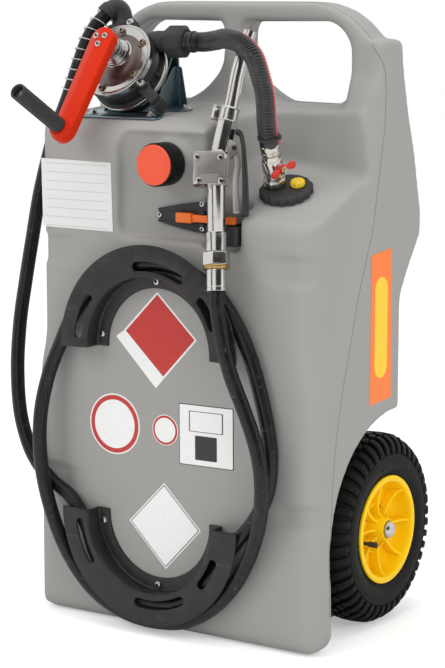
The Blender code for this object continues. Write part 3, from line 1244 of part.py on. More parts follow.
def make_nozzle():
    z = 0.0
    ferrule = turned("hose_ferrule", [(0, FERRULE_LENGTH), (FERRULE_RADIUS * 0.85, FERRULE_LENGTH),
                                      (FERRULE_RADIUS, FERRULE_LENGTH * 0.9), (FERRULE_RADIUS, 0), (0, 0)], 20)
    finish(place(ferrule, NOZZLE_FRAME), ALUMINIUM)
    z = FERRULE_LENGTH + GAP
    ring = cylinder("swivel_ring", RING_RADIUS, z, z + RING_LENGTH, 16)
    finish(place(ring, NOZZLE_FRAME), BRASS)
    z += RING_LENGTH + GAP
    nut = cylinder("swivel_nut", NUT_HALF_FLATS / cos(pi / 6), z, z + NUT_LENGTH, 6, turn=pi / 12)
    finish(place(nut, NOZZLE_FRAME), ALUMINIUM)
    z += NUT_LENGTH + GAP
    tube_start = z + SLEEVE_LENGTH
    tube_end = tube_start + TUBE_LENGTH
    top = tube_end + BLOCK_HEIGHT
    body = cylinder("nozzle_body", TUBE_RADIUS, z + SLEEVE_LENGTH / 2, tube_end + BLOCK_HEIGHT / 2, 16)
    add(body, cylinder("sleeve", SLEEVE_RADIUS, z, tube_start, 16))
    half = BLOCK_WIDTH / 2
    add(body, box("valve_block", (BLOCK_X - half, -BLOCK_DEPTH / 2, tube_end),
                  (BLOCK_X + half, BLOCK_DEPTH / 2, top)))
    neck_top = top + NECK_HEIGHT
    lean = atan2(NECK_TOP_X, NECK_HEIGHT + BLOCK_HEIGHT / 2)
    length = hypot(NECK_TOP_X, NECK_HEIGHT + BLOCK_HEIGHT / 2)
    spigot = cylinder("nozzle_neck", NECK_TUBE_RADIUS, 0, length, 16)
    place(spigot, Matrix.Translation((0, 0, top - BLOCK_HEIGHT / 2)) @ Matrix.Rotation(lean, 4, 'Y'))
    add(body, spigot)
    inner = LEVER_WIDTH / 2 + GAP + GAP
    for side in (1, -1):
        edges = sorted((side * inner, side * (inner + EAR_THICKNESS)))
        ear = box("lever_ear", (0, edges[0], LEVER_PIVOT_Z - EAR_HEIGHT / 2),
                  (LEVER_PIVOT_X + LEVER_THICKNESS / 2, edges[1], LEVER_PIVOT_Z + EAR_HEIGHT / 2))
        add(body, ear)
    slot = box("lever_room", (LEVER_PIVOT_X - LEVER_THICKNESS / 2 - OVERRUN / 5, -inner,
                              LEVER_PIVOT_Z - EAR_HEIGHT),
               (LEVER_PIVOT_X + OVERRUN, inner, LEVER_PIVOT_Z + EAR_HEIGHT / 2 + OVERRUN / 5))
    cut(body, slot)
    pin_way = cylinder("pin_way", LEVER_PIN_RADIUS + GAP, -BLOCK_DEPTH, BLOCK_DEPTH, 16)
    pivot = Matrix.Translation((LEVER_PIVOT_X, 0, LEVER_PIVOT_Z)) @ Matrix.Rotation(pi / 2, 4, 'X')
    cut(body, place(pin_way, pivot))
    finish(place_group(body, NOZZLE_FRAME), ALUMINIUM)

    plate_y = -BLOCK_DEPTH / 2 - GAP
    plate = box("nozzle_cover", (BLOCK_X - half, plate_y - COVER_SHEET, tube_end),
                (BLOCK_X + half, plate_y, top))
    finish(place(plate, NOZZLE_FRAME), ALUMINIUM)

    pin_half = inner + EAR_THICKNESS
    pin = cylinder("lever_pin", LEVER_PIN_RADIUS, -pin_half, pin_half, 16)
    finish(place(pin, NOZZLE_FRAME @ pivot), STEEL)
    make_lever()
    make_guard(top - BLOCK_HEIGHT / 2, lean)
    make_spout(neck_top, lean)


def make_lever():
    half = LEVER_THICKNESS / 2
    drop = LEVER_LENGTH
    foot = LEVER_FOOT_X - LEVER_PIVOT_X
    shares = ((0.22, 0.30), (0.48, 1.20), (0.72, 0.70), (1.0, 1.0))
    spine = [(foot * bend_share, -drop * share) for share, bend_share in shares]
    outer = [(x + half, z) for x, z in spine]
    inner = [(x - half, z) for x, z in reversed(spine)]
    outline = arc((0, 0), half, pi, 0, 6) + outer + inner
    lever = flat("trigger_lever", outline, -LEVER_WIDTH / 2, LEVER_WIDTH / 2)
    hole = cylinder("lever_hole", LEVER_PIN_RADIUS + GAP, -LEVER_WIDTH, LEVER_WIDTH, 16)
    cut(lever, hole)
    frame = Matrix.Translation((LEVER_PIVOT_X, 0, LEVER_PIVOT_Z)) @ FORWARDS
    finish(place_group(lever, NOZZLE_FRAME @ frame), ALUMINIUM)


def make_guard(neck_foot, lean):
    """Black strap that shields the lever, held at the nozzle's neck."""
    outer = [(x + GUARD_PLATE / 2, z) for x, z in GUARD_OUTLINE]
    inner = [(x - GUARD_PLATE / 2, z) for x, z in reversed(GUARD_OUTLINE)]
    high = GUARD_OUTLINE[0][1]
    reach = NECK_TUBE_RADIUS / cos(lean) + tan(lean) * (high + GUARD_PLATE - neck_foot) + GAP
    arm = [(reach, high), (reach, high + GUARD_PLATE)]
    outline = arm + outer + inner
    guard = flat("trigger_guard", outline, -GUARD_WIDTH / 2, GUARD_WIDTH / 2)
    finish(place(guard, NOZZLE_FRAME @ FORWARDS), BLACK)


def make_spout(neck_top, lean):
    start = Vector((NECK_TOP_X + GAP * sin(lean), 0, neck_top + GAP))
    lead = Vector((sin(lean), 0, cos(lean)))
    shares = SPOUT_ROUTE_SHARES[1:]
    bend = [start + Vector((SPOUT_SIDE * a, 0, SPOUT_RISE * b)) for a, b in shares]
    route = [tuple(start), tuple(start + lead * 2 * SPOUT_RADIUS)] + [tuple(p) for p in bend]
    points, _ = smooth_route(route, 11)
    spout = tube("nozzle_spout", points, SPOUT_RADIUS, 3)
    hollow = [points[0] - lead * OVERRUN] + points + [points[-1] * 2 - points[-2]]
    cut(spout, tube("spout_bore", hollow, SPOUT_RADIUS - SPOUT_WALL, 3))
    finish(place_group(spout, NOZZLE_FRAME), ALUMINIUM)


def make_holder():
    """Plate on the recess face with a cup in the valley."""
    back = FILLER_RECESS_Y - GAP
    front = back - HOLDER_PLATE
    half = HOLDER_HALF_HEIGHT
    tip = HOLDER_TIP_HALF_HEIGHT
    mid = (HOLDER_LEFT_X * 2 + CUP_LEFT_X) / 3
    outline = [(HOLDER_LEFT_X, -tip), (mid, -half * 0.75), (CUP_LEFT_X + CUP_WALL, -half),
               (CUP_LEFT_X + CUP_WALL, half), (mid, half * 0.75), (HOLDER_LEFT_X, tip)]
    plate = flat("nozzle_holder", outline, -back, -front)
    place(plate, Matrix.Translation((0, 0, HOLDER_Z)) @ FORWARDS)
    cup = box("holder_cup", (CUP_LEFT_X, CUP_FRONT_Y, CUP_FLOOR_Z),
              (CUP_RIGHT_X, VALLEY_FLOOR_Y - GAP, CUP_TOP_Z))
    add(plate, cup)
    pocket = box("cup_pocket", (CUP_LEFT_X + CUP_WALL, CUP_FRONT_Y + CUP_WALL, CUP_FLOOR_Z + CUP_WALL),
                 (CUP_RIGHT_X - CUP_WALL, VALLEY_FLOOR_Y - GAP - CUP_WALL, CUP_TOP_Z + OVERRUN))
    cut(plate, pocket)
    wall = LOCK_KEEPER_WALL
    low = LOCK_Z - LOCK_HEIGHT / 2
    high = LOCK_Z + LOCK_HEIGHT / 2
    deep = front - GAP - LOCK_DEPTH
    for name, x in (("keeper_left", LOCK_LEFT_X + LOCK_TRAVEL_KEEPER),
                    ("keeper_right", (LOCK_LEFT_X + CUP_LEFT_X) / 2)):
        keeper = box(name, (x, deep - GAP - wall, low - GAP - wall), (x + wall * 3, front + wall / 2,
                                                                     high + GAP + wall))
        add(plate, keeper)
    way = box("lock_way", (LOCK_LEFT_X - OVERRUN, deep - GAP, low - GAP),
              (CUP_RIGHT_X + OVERRUN, front + GAP, high + GAP))
    cut(plate, way)
    finish(settle(plate), BLACK)

    bar = box("lock_bar", (LOCK_LEFT_X, deep, low), (LOCK_RIGHT_X, front - GAP, high))
    knob = box("lock_knob", (LOCK_LEFT_X - LOCK_KNOB_LENGTH, deep - wall, low - LOCK_KNOB_RISE),
               (LOCK_LEFT_X + GAP, front - GAP, high + LOCK_KNOB_RISE))
    add(bar, knob)
    finish(settle(bar), ORANGE)


def ring_sector(name, inner, outer, start, stop, low, high):
    steps = 6
    outline = arc((0, 0), outer, start, stop, steps) + arc((0, 0), inner, stop, start, steps)
    return flat(name, outline, low, high)


def make_hose_bracket(name, height, side):
    """Half ring channel that the delivery hose is wound on."""
    sheet = SPOOL_SHEET
    back = GAP
    front = SPOOL_DEPTH
    profile = [(SPOOL_INNER_RADIUS, back), (SPOOL_WEB_RADIUS, back), (SPOOL_WEB_RADIUS, front - sheet),
               (SPOOL_OUTER_RADIUS, front - sheet), (SPOOL_OUTER_RADIUS, front),
               (SPOOL_WEB_RADIUS - sheet, front), (SPOOL_WEB_RADIUS - sheet, back + sheet),
               (SPOOL_INNER_RADIUS, back + sheet)]
    ring = turned(name, profile, SPOOL_SEGMENTS, closed=True)
    reach = SPOOL_OUTER_RADIUS + OVERRUN
    keep(ring, box(name + "_half", (-reach, -sheet, -OVERRUN), (reach, reach, front + OVERRUN)))
    for start, stop in SLOT_ANGLES:
        cut(ring, ring_sector("hose_slot", SLOT_INNER_RADIUS, SLOT_OUTER_RADIUS, start, stop,
                              front - sheet - OVERRUN / 2, front + OVERRUN))
    frame = Matrix.Translation((BRACKET_CENTRE_X, FRONT_Y, height)) @ FORWARDS
    if side < 0:
        frame = frame @ Matrix.Rotation(pi, 4, 'Z') @ Matrix.Scale(-1, 4, (1, 0, 0))
    item = settle(ring)
    place(item, frame)
    if side < 0:
        item.data.flip_normals()
    finish(item, BLACK)




clear_scene()
PARTS = make_collection("fuel_caddy")
CUTTERS = make_collection("cutters")
make_tank()
make_filler_cap()
make_axle()
make_wheel(1)
make_wheel(-1)
make_pump()
make_rotor()
make_crank()
make_bracket()
make_union()
make_suction_hose()
make_valve(make_suction_cap())
make_dip_tube()
make_outlet()
make_delivery_hose()
make_nozzle()
make_holder()
make_hose_bracket("hose_bracket_top", TOP_BRACKET_Z, 1)
make_hose_bracket("hose_bracket_bottom", BOTTOM_BRACKET_Z, -1)
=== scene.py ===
"""Looks of the wheeled fuel caddy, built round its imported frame, in metres with +Z up."""

import random
from math import atan2, cos, pi, radians, sin, tan

import bmesh
import bpy
import numpy as np
from bpy.props import FloatProperty, FloatVectorProperty, IntProperty, PointerProperty
from mathutils import Matrix, Vector
from mathutils.bvhtree import BVHTree


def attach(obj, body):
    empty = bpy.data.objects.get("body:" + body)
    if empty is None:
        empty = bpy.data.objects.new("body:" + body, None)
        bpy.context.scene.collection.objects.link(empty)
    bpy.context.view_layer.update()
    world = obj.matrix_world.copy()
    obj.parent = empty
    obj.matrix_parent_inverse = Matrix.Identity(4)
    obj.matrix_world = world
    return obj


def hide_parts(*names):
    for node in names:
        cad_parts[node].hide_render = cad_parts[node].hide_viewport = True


bl_info = {"name": "Fuel Caddy", "version": (1, 0, 0), "blender": (4, 5, 0),
    "location": "View3D > Sidebar > Caddy",
    "description": "Builds the visual model of a wheeled fuel caddy with a crank pump",
    "category": "Object"}

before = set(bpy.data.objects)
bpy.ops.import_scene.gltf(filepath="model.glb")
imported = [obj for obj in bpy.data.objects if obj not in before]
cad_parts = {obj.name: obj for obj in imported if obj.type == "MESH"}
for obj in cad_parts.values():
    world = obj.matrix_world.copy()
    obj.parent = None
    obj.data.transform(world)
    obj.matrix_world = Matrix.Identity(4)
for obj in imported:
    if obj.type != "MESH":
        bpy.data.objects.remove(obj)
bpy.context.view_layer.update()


# Short ways to write lengths and places

def rows(width, values):
    """Rows of lengths in metres from whole tenths of a millimetre."""
    return [tuple(v / 10000 for v in values[i:i + width]) for i in range(0, len(values), width)]


def pairs(*tenths):
    return rows(2, tenths)


def triples(*tenths):
    return rows(3, tenths)


def shift(x, y, z):
    return Matrix.Translation((x, y, z))


def turn(axis, degrees):
    return Matrix.Rotation(radians(degrees), 4, axis)


def spun(angle):
    return Matrix.Rotation(angle, 4, 'Z')


# Places shared by several pieces
FRONT_Y = -0.2
REAR_Y = 0.053
HALF_WIDTH = 0.2772
BLOCK_HALF = 0.2645
TOP_Z = 1.007
LOOP_RADIUS = 0.145
PLATFORM_Z, PLATFORM_TILT = 0.824, 6.3
SHOULDER_TILT = 24
GRIP_END = 0.1607
WHEEL_X, WHEEL_Y, WHEEL_Z = 0.2225, 0.046, 0.157
SIDEWAYS = Matrix(((0, 0, 1, 0), (1, 0, 0, 0), (0, 1, 0, 0), (0, 0, 0, 1)))
FORWARDS = Matrix(((1, 0, 0, 0), (0, 0, -1, 0), (0, 1, 0, 0), (0, 0, 0, 1)))
PUMP = shift(-0.147, -0.14, 0.912) @ turn('X', 60)
SHAFT = PUMP @ shift(0, 0.0135, 0)
CRANK = SHAFT @ turn('Z', -97.4)
SHOULDER = shift(0.168, -0.12, 0.713) @ turn('Y', 7) @ turn('X', SHOULDER_TILT)
NOZZLE = shift(0.1245, -0.25, 0.571) @ turn('Z', 34) @ turn('X', -17.3)
FILLER = shift(-0.006, -0.182, 0.757) @ FORWARDS
PLATFORM = shift(0, -0.15, PLATFORM_Z) @ turn('X', PLATFORM_TILT)

HOSE_ROUTE = triples(-2040, -880, 9850, -2140, -1000, 9690, -2235, -1110, 9460, -2350, -1180, 9120,
    -2500, -1200, 8720, -2690, -1170, 8350, -2950, -1100, 7930, -3140, -1080, 7440, -3240, -1180,
    6850, -3250, -1360, 6180, -3240, -1560, 5500, -3225, -1760, 4750, -3150, -1930, 3950, -2980,
    -2050, 3200, -2680, -2115, 2620, -2300, -2135, 2270, -1870, -2145, 2020, -1560, -2155, 1600,
    -1330, -2155, 1080, -850, -2155, 650, -200, -2155, 490, 470, -2155, 660, 970, -2155, 1140, 1300,
    -2155, 1640, 1680, -2145, 2080, 1930, -2135, 2560, 2000, -2130, 3050, 1960, -2130, 3500, 1800,
    -2140, 4180, 1590, -2150, 4780, 1280, -2155, 5320, 850, -2155, 5740, 300, -2155, 5970, -300,
    -2155, 6000, -900, -2155, 5860, -1430, -2155, 5500, -1830, -2155, 5000, -2060, -2170, 4550,
    -2230, -2260, 4050, -2310, -2360, 3500, -2320, -2400, 2950, -2250, -2390, 2300, -2040, -2300,
    1480, -1730, -2200, 860, -1290, -2155, 450, -720, -2155, 240, -150, -2155, 200, 400, -2155, 290,
    880, -2155, 560, 1300, -2165, 970, 1640, -2210, 1500, 1880, -2300, 2050, 2010, -2400, 2560,
    2000, -2430, 3050, 1890, -2450, 3500, 1710, -2480, 3970, 1500, -2510, 4480, 1360, -2530, 5000,
    1283, -2556, 5492)
SUCTION_ROUTE = triples(260, -1060, 9470, 672, -1420, 9506, 1090, -1680, 9466, 1310, -1770, 9376,
    1485, -1820, 9225, 1596, -1820, 8939, 1642, -1780, 8700)
HOSE_RADIUS = 0.0117
SUCTION_RADIUS = 0.016
UNION_Y, UNION_Z = -0.09, 0.9435
COVER_SCREWS = (97, 38, -29, -101, -158, 157)
BODY_SCREWS = ((-29.3, 0.0641), (93.8, 0.0773))
LUG_INNER = 0.0603
NOZZLE_LEAN = atan2(0.021, 0.0975)
VALVE = SHOULDER @ shift(-0.0185, -0.0013, 0)
VALVE_STEM = VALVE @ shift(0, 0, 0.0464) @ turn('Z', 78) @ turn('X', 90)
SUCTION_STRIPE = 0.25
CAMERA_PLACE, CAMERA_AIM, CAMERA_LENS = (1.965, -2.965, 1.026), (-0.033, 0.0, 0.4594), 117.16


# Mesh helpers

def link(name, mesh):
    item = bpy.data.objects.new(name, mesh)
    bpy.context.scene.collection.objects.link(item)
    return item


def from_lists(name, verts, faces):
    mesh = bpy.data.meshes.new(name)
    mesh.from_pydata([tuple(v) for v in verts], [], faces)
    mesh.update()
    return link(name, mesh)


def remove(item):
    bpy.data.objects.remove(item, do_unlink=True)


def bake(item):
    """Apply an object's modifiers and place to its mesh."""
    bpy.context.view_layer.update()
    graph = bpy.context.evaluated_depsgraph_get()
    mesh = bpy.data.meshes.new_from_object(item.evaluated_get(graph))
    mesh.transform(item.matrix_world)
    fresh = link("baked", mesh)
    name = item.name
    remove(item)
    fresh.name = name
    return fresh


def move(item, matrix):
    item.data.transform(matrix)
    if matrix.determinant() < 0:
        item.data.flip_normals()
    return item


def outward(item):
    shape = bmesh.new()
    shape.from_mesh(item.data)
    bmesh.ops.remove_doubles(shape, verts=shape.verts, dist=5e-06)
    bmesh.ops.recalc_face_normals(shape, faces=shape.faces)
    shape.to_mesh(item.data)
    shape.free()
    return item


def smooth(item, angle=32):
    item.data.shade_smooth()
    item.data.set_sharp_from_angle(angle=radians(angle))
    return item


def soften(item, width, segments=3, angle=30):
    step = item.modifiers.new("soften", 'BEVEL')
    step.width = width
    step.segments = segments
    step.limit_method = 'ANGLE'
    step.angle_limit = radians(angle)
    return bake(item)


def carve(item, tool, operation='DIFFERENCE'):
    step = item.modifiers.new("carve", 'BOOLEAN')
    step.operation = operation
    step.object = tool
    item = bake(item)
    remove(tool)
    return item


def merge(item, *others):
    """Put several meshes in one object, each keeping its own faces."""
    shape = bmesh.new()
    shape.from_mesh(item.data)
    for other in others:
        shape.from_mesh(other.data)
        remove(other)
    shape.to_mesh(item.data)
    shape.free()
    return item


def box(name, low, high, matrix=None, width=0.0, segments=3):
    mesh = bpy.data.meshes.new(name)
    shape = bmesh.new()
    bmesh.ops.create_cube(shape, size=1.0)
    bmesh.ops.scale(shape, vec=[b - a for a, b in zip(low, high)], verts=shape.verts)
    bmesh.ops.translate(shape, vec=[(a + b) / 2 for a, b in zip(low, high)], verts=shape.verts)
    shape.to_mesh(mesh)
    shape.free()
    item = link(name, mesh)
    if width:
        item = soften(item, width, segments)
    return move(item, matrix) if matrix else item


def lathe(name, profile, matrix=None, sides=48, closed=False, start=0.0, stop=2 * pi):
    """Turn (radius, height) points about local Z; a part turn is open at its ends unless closed."""
    whole = abs(stop - start - 2 * pi) < 0.001
    rings = sides if whole else sides + 1
    verts, faces, count = [], [], len(profile)
    for i in range(rings):
        angle = start + (stop - start) * i / sides
        verts += [(r * cos(angle), r * sin(angle), z) for r, z in profile]
    steps = count if closed else count - 1
    for i in range(sides):
        a, b = i * count, (i + 1) % rings * count
        for j in range(steps):
            k = (j + 1) % count
            faces.append((a + j, b + j, b + k, a + k))
    if not whole and closed:
        faces.append(tuple(range(count)))
        faces.append(tuple((rings - 1) * count + j for j in reversed(range(count))))
    item = outward(from_lists(name, verts, faces))
    return move(item, matrix) if matrix else item


def rounded(points, radius, steps=4):
    """Replace the corners of a closed outline with small arcs."""
    made, count = [], len(points)
    for i, here in enumerate(points):
        here = Vector(here)
        back, ahead = Vector(points[i - 1]) - here, Vector(points[(i + 1) % count]) - here
        reach = min(radius, back.length * 0.45, ahead.length * 0.45)
        a, b = here + back.normalized() * reach, here + ahead.normalized() * reach
        for k in range(steps + 1):
            t = k / steps
            made.append(tuple(a.lerp(here, t).lerp(here.lerp(b, t), t)))
    return made


def prism(name, outline, low, high, matrix=None, width=0.0, segments=3):
    """Extrude a closed outline in local XY between two heights."""
    count = len(outline)
    verts = [(x, y, low) for x, y in outline] + [(x, y, high) for x, y in outline]
    faces = [tuple(reversed(range(count))), tuple(range(count, 2 * count))]
    faces += [(i, (i + 1) % count, (i + 1) % count + count, i + count) for i in range(count)]
    item = outward(from_lists(name, verts, faces))
    if width:
        item = soften(item, width, segments)
    return move(item, matrix) if matrix else item


def arc(centre, radius, start, stop, steps):
    return [(centre[0] + radius * cos(start + (stop - start) * i / steps), centre[1] + radius
        * sin(start + (stop - start) * i / steps)) for i in range(steps + 1)]


def smooth_route(points, count):
    """Even points along a centripetal Catmull-Rom curve, with the curve's length."""
    route = [Vector(p) for p in points]
    route = [2 * route[0] - route[1]] + route + [2 * route[-1] - route[-2]]
    fine = []
    for a, b, c, d in zip(route, route[1:], route[2:], route[3:]):
        t1 = (b - a).length ** 0.5
        t2 = t1 + (c - b).length ** 0.5
        t3 = t2 + (d - c).length ** 0.5
        for i in range(24):
            t = t1 + (t2 - t1) * i / 24
            ab, bc, cd = (a.lerp(b, t / t1), b.lerp(c, (t - t1) / (t2 - t1)), c.lerp(d,
                (t - t2) / (t3 - t2)))
            abc, bcd = ab.lerp(bc, t / t2), bc.lerp(cd, (t - t1) / (t3 - t1))
            fine.append(abc.lerp(bcd, (t - t1) / (t2 - t1)))
    fine.append(route[-2])
    lengths = [0.0]
    for a, b in zip(fine, fine[1:]):
        lengths.append(lengths[-1] + (b - a).length)
    even, k = [], 0
    for i in range(count):
        want = lengths[-1] * i / (count - 1)
        while k < len(lengths) - 2 and lengths[k + 1] < want:
            k += 1
        even.append(fine[k].lerp(fine[k + 1], (want - lengths[k]) / (lengths[k + 1] - lengths[k])))
    return even, lengths[-1]


def frames_along(points):
    """Directions and cross directions that don't twist along a path."""
    frames, side = [], None
    for i, spot in enumerate(points):
        along = (points[min(i + 1, len(points) - 1)] - points[max(i - 1, 0)]).normalized()
        if side is None:
            side = along.orthogonal().normalized()
        side = (side - along * side.dot(along)).normalized()
        frames.append((along, side, along.cross(side)))
    return frames


def tube(name, points, radius, sides=20, matrix=None, radii=None, capped=True):
    """Round tube along points, with a UV map round and along it; radii is a list or a function."""
    points = [Vector(p) for p in points]
    verts, faces = [], []
    for i, (spot, (_, u, v)) in enumerate(zip(points, frames_along(points))):
        for k in range(sides):
            r = radii(i, k) if callable(radii) else radii[i] if radii else radius
            angle = 2 * pi * k / sides
            verts.append(spot + u * r * cos(angle) + v * r * sin(angle))
    for i in range(len(points) - 1):
        for k in range(sides):
            a, b = i * sides + k, i * sides + (k + 1) % sides
            faces.append((a, b, b + sides, a + sides))
    if capped:
        last = (len(points) - 1) * sides
        faces.append(tuple(reversed(range(sides))))
        faces.append(tuple(range(last, last + sides)))
    item = from_lists(name, verts, faces)
    layer = item.data.uv_layers.new(name="along")
    run = [0.0]
    for a, b in zip(points, points[1:]):
        run.append(run[-1] + (b - a).length)
    for i in range(len(points) - 1):
        for k in range(sides):
            loops = item.data.polygons[i * sides + k].loop_indices
            around = (k / sides, (k + 1) / sides, (k + 1) / sides, k / sides)
            for loop, x, y in zip(loops, around, (run[i], run[i], run[i + 1], run[i + 1])):
                layer.data[loop].uv = (x, y)
    return move(item, matrix) if matrix else item


# Node trees that repeat a shape

def input_id(tree, name):
    return next(s.identifier for s in tree.interface.items_tree if s.item_type == 'SOCKET'
        and s.in_out == 'INPUT' and s.name == name)


def repeat_tree():
    """Tree that sets a copy of a shape at each point, turned by the point's own angles."""
    tree = bpy.data.node_groups.get("Set Copies") or bpy.data.node_groups.new("Set Copies",
        "GeometryNodeTree")
    if tree.nodes:
        return tree
    face = tree.interface
    face.new_socket("Geometry", in_out='INPUT', socket_type="NodeSocketGeometry")
    face.new_socket("Shape", in_out='INPUT', socket_type="NodeSocketObject")
    face.new_socket("Size", in_out='INPUT', socket_type="NodeSocketFloat").default_value = 1.0
    face.new_socket("Finish", in_out='INPUT', socket_type="NodeSocketMaterial")
    face.new_socket("Geometry", in_out='OUTPUT', socket_type="NodeSocketGeometry")
    add, wire = tree.nodes.new, tree.links.new
    ins, outs = add("NodeGroupInput"), add("NodeGroupOutput")
    shape = add("GeometryNodeObjectInfo")
    angles = add("GeometryNodeInputNamedAttribute")
    angles.data_type = 'FLOAT_VECTOR'
    angles.inputs["Name"].default_value = "turn"
    copies, real, coat = (add("GeometryNodeInstanceOnPoints"), add("GeometryNodeRealizeInstances"),
        add("GeometryNodeSetMaterial"))
    wire(ins.outputs["Geometry"], copies.inputs["Points"])
    wire(ins.outputs["Shape"], shape.inputs["Object"])
    wire(shape.outputs["Geometry"], copies.inputs["Instance"])
    wire(angles.outputs["Attribute"], copies.inputs["Rotation"])
    wire(ins.outputs["Size"], copies.inputs["Scale"])
    wire(copies.outputs["Instances"], real.inputs["Geometry"])
    wire(real.outputs["Geometry"], coat.inputs["Geometry"])
    wire(ins.outputs["Finish"], coat.inputs["Material"])
    wire(coat.outputs["Geometry"], outs.inputs["Geometry"])
    return tree


def repeat(name, shape, places, look):
    """One mesh with the shape copied to each place; the shape itself is removed."""
    mesh = bpy.data.meshes.new(name)
    mesh.from_pydata([m.to_translation() for m in places], [], [])
    turns = mesh.attributes.new("turn", 'FLOAT_VECTOR', 'POINT')
    for i, m in enumerate(places):
        turns.data[i].vector = m.to_euler('XYZ')
    item = link(name, mesh)
    tree = repeat_tree()
    step = item.modifiers.new("copies", 'NODES')
    step.node_group = tree
    step[input_id(tree, "Shape")] = shape
    step[input_id(tree, "Finish")] = paint(look)
    item = bake(item)
    remove(shape)
    return item


# Finishes

def new_group(name, inputs, outputs):
    group = bpy.data.node_groups.new(name, "ShaderNodeTree")
    kinds = {"f": "NodeSocketFloat", "c": "NodeSocketColor", "v": "NodeSocketVector"}
    for label, kind, value in inputs:
        socket = group.interface.new_socket(label, in_out='INPUT', socket_type=kinds[kind])
        if value is not None:
            socket.default_value = value
    for label, kind in outputs:
        group.interface.new_socket(label, in_out='OUTPUT', socket_type=kinds[kind])
    return group, group.nodes.new("NodeGroupInput"), group.nodes.new("NodeGroupOutput")


def node(tree, kind, inputs=None, **settings):
    made = tree.nodes.new(kind)
    for key, value in settings.items():
        setattr(made, key, value)
    for key, value in (inputs or {}).items():
        socket = made.inputs[key]
        if hasattr(value, "links") or isinstance(value, bpy.types.NodeSocket):
            tree.links.new(value, socket)
        else:
            socket.default_value = value
    return made


def maths(tree, kind, *values, **settings):
    """What a Math node puts out."""
    return node(tree, "ShaderNodeMath", dict(enumerate(values)), operation=kind,
        **settings).outputs[0]


def ramp(tree, value, low, high, to_low=0.0, to_high=1.0):
    return node(tree, "ShaderNodeMapRange", {"Value": value, "From Min": low, "From Max": high,
        "To Min": to_low, "To Max": to_high}).outputs["Result"]


def blend_colour(tree, amount, first, second):
    mix = node(tree, "ShaderNodeMix", data_type='RGBA')
    for socket, value in ((mix.inputs[0], amount), (mix.inputs[6], first), (mix.inputs[7], second)):
        if isinstance(value, bpy.types.NodeSocket):
            tree.links.new(value, socket)
        elif hasattr(value, "__len__"):
            socket.default_value = (*value[:3], 1.0)
        else:
            socket.default_value = value
    return mix.outputs[2]


def surface_group():
    """Colour drift, dust, fine grain and small scratches, shared by most finishes."""
    found = bpy.data.node_groups.get("Lived-in Surface")
    if found:
        return found
    group, ins, outs = new_group("Lived-in Surface", [("Vector", "v", None), ("Colour", "c", (0.5,
        0.5, 0.5, 1)), ("Dust Colour", "c", (0.4, 0.38, 0.35, 1)), ("Dust", "f", 0.1), ("Drift",
        "f", 0.06), ("Grain Scale", "f", 900.0), ("Scratches", "f", 0.1), ("Roughness", "f", 0.5),
        ("Roughness Spread", "f", 0.08)], [("Colour", "c"), ("Roughness", "f"), ("Height", "f")])
    vector = ins.outputs["Vector"]
    broad = node(group, "ShaderNodeTexNoise", {"Vector": vector, "Scale": 7.0,
        "Detail": 5.0}).outputs["Fac"]
    fine = node(group, "ShaderNodeTexNoise", {"Vector": vector, "Scale": ins.outputs["Grain Scale"],
        "Detail": 2.0}).outputs["Fac"]
    cloud = node(group, "ShaderNodeTexNoise", {"Vector": vector, "Scale": 34.0, "Detail": 8.0,
        "Roughness": 0.7}).outputs["Fac"]
    stretch = node(group, "ShaderNodeMapping", {"Vector": vector, "Rotation": (0.5, 0.9, 0.4),
        "Scale": (6.0, 160.0, 60.0)}).outputs["Vector"]
    lines = node(group, "ShaderNodeTexNoise", {"Vector": stretch, "Scale": 1.6,
        "Detail": 3.0}).outputs["Fac"]
    scratch = maths(group, 'MULTIPLY', ramp(group, lines, 0.66, 0.7), ins.outputs["Scratches"])
    darker = blend_colour(group, 0.35, ins.outputs["Colour"], (0.0, 0.0, 0.0))
    lighter = blend_colour(group, 0.22, ins.outputs["Colour"], (1.0, 1.0, 1.0))
    drift = maths(group, 'MULTIPLY', ramp(group, broad, 0.35, 0.65), ins.outputs["Drift"])
    colour = blend_colour(group, drift, ins.outputs["Colour"], darker)
    colour = blend_colour(group, scratch, colour, lighter)
    dust = maths(group, 'MULTIPLY', ramp(group, cloud, 0.45, 0.75), ins.outputs["Dust"])
    colour = blend_colour(group, dust, colour, ins.outputs["Dust Colour"])
    spread = maths(group, 'MULTIPLY', ramp(group, cloud, 0.3, 0.7, -1.0, 1.0),
        ins.outputs["Roughness Spread"])
    rough = maths(group, 'ADD', ins.outputs["Roughness"], spread)
    rough = maths(group, 'ADD', rough, maths(group, 'MULTIPLY', dust, 0.5), use_clamp=True)
    height = maths(group, 'SUBTRACT', fine, scratch)
    for label, value in (("Colour", colour), ("Roughness", rough), ("Height", height)):
        group.links.new(value, outs.inputs[label])
    return group


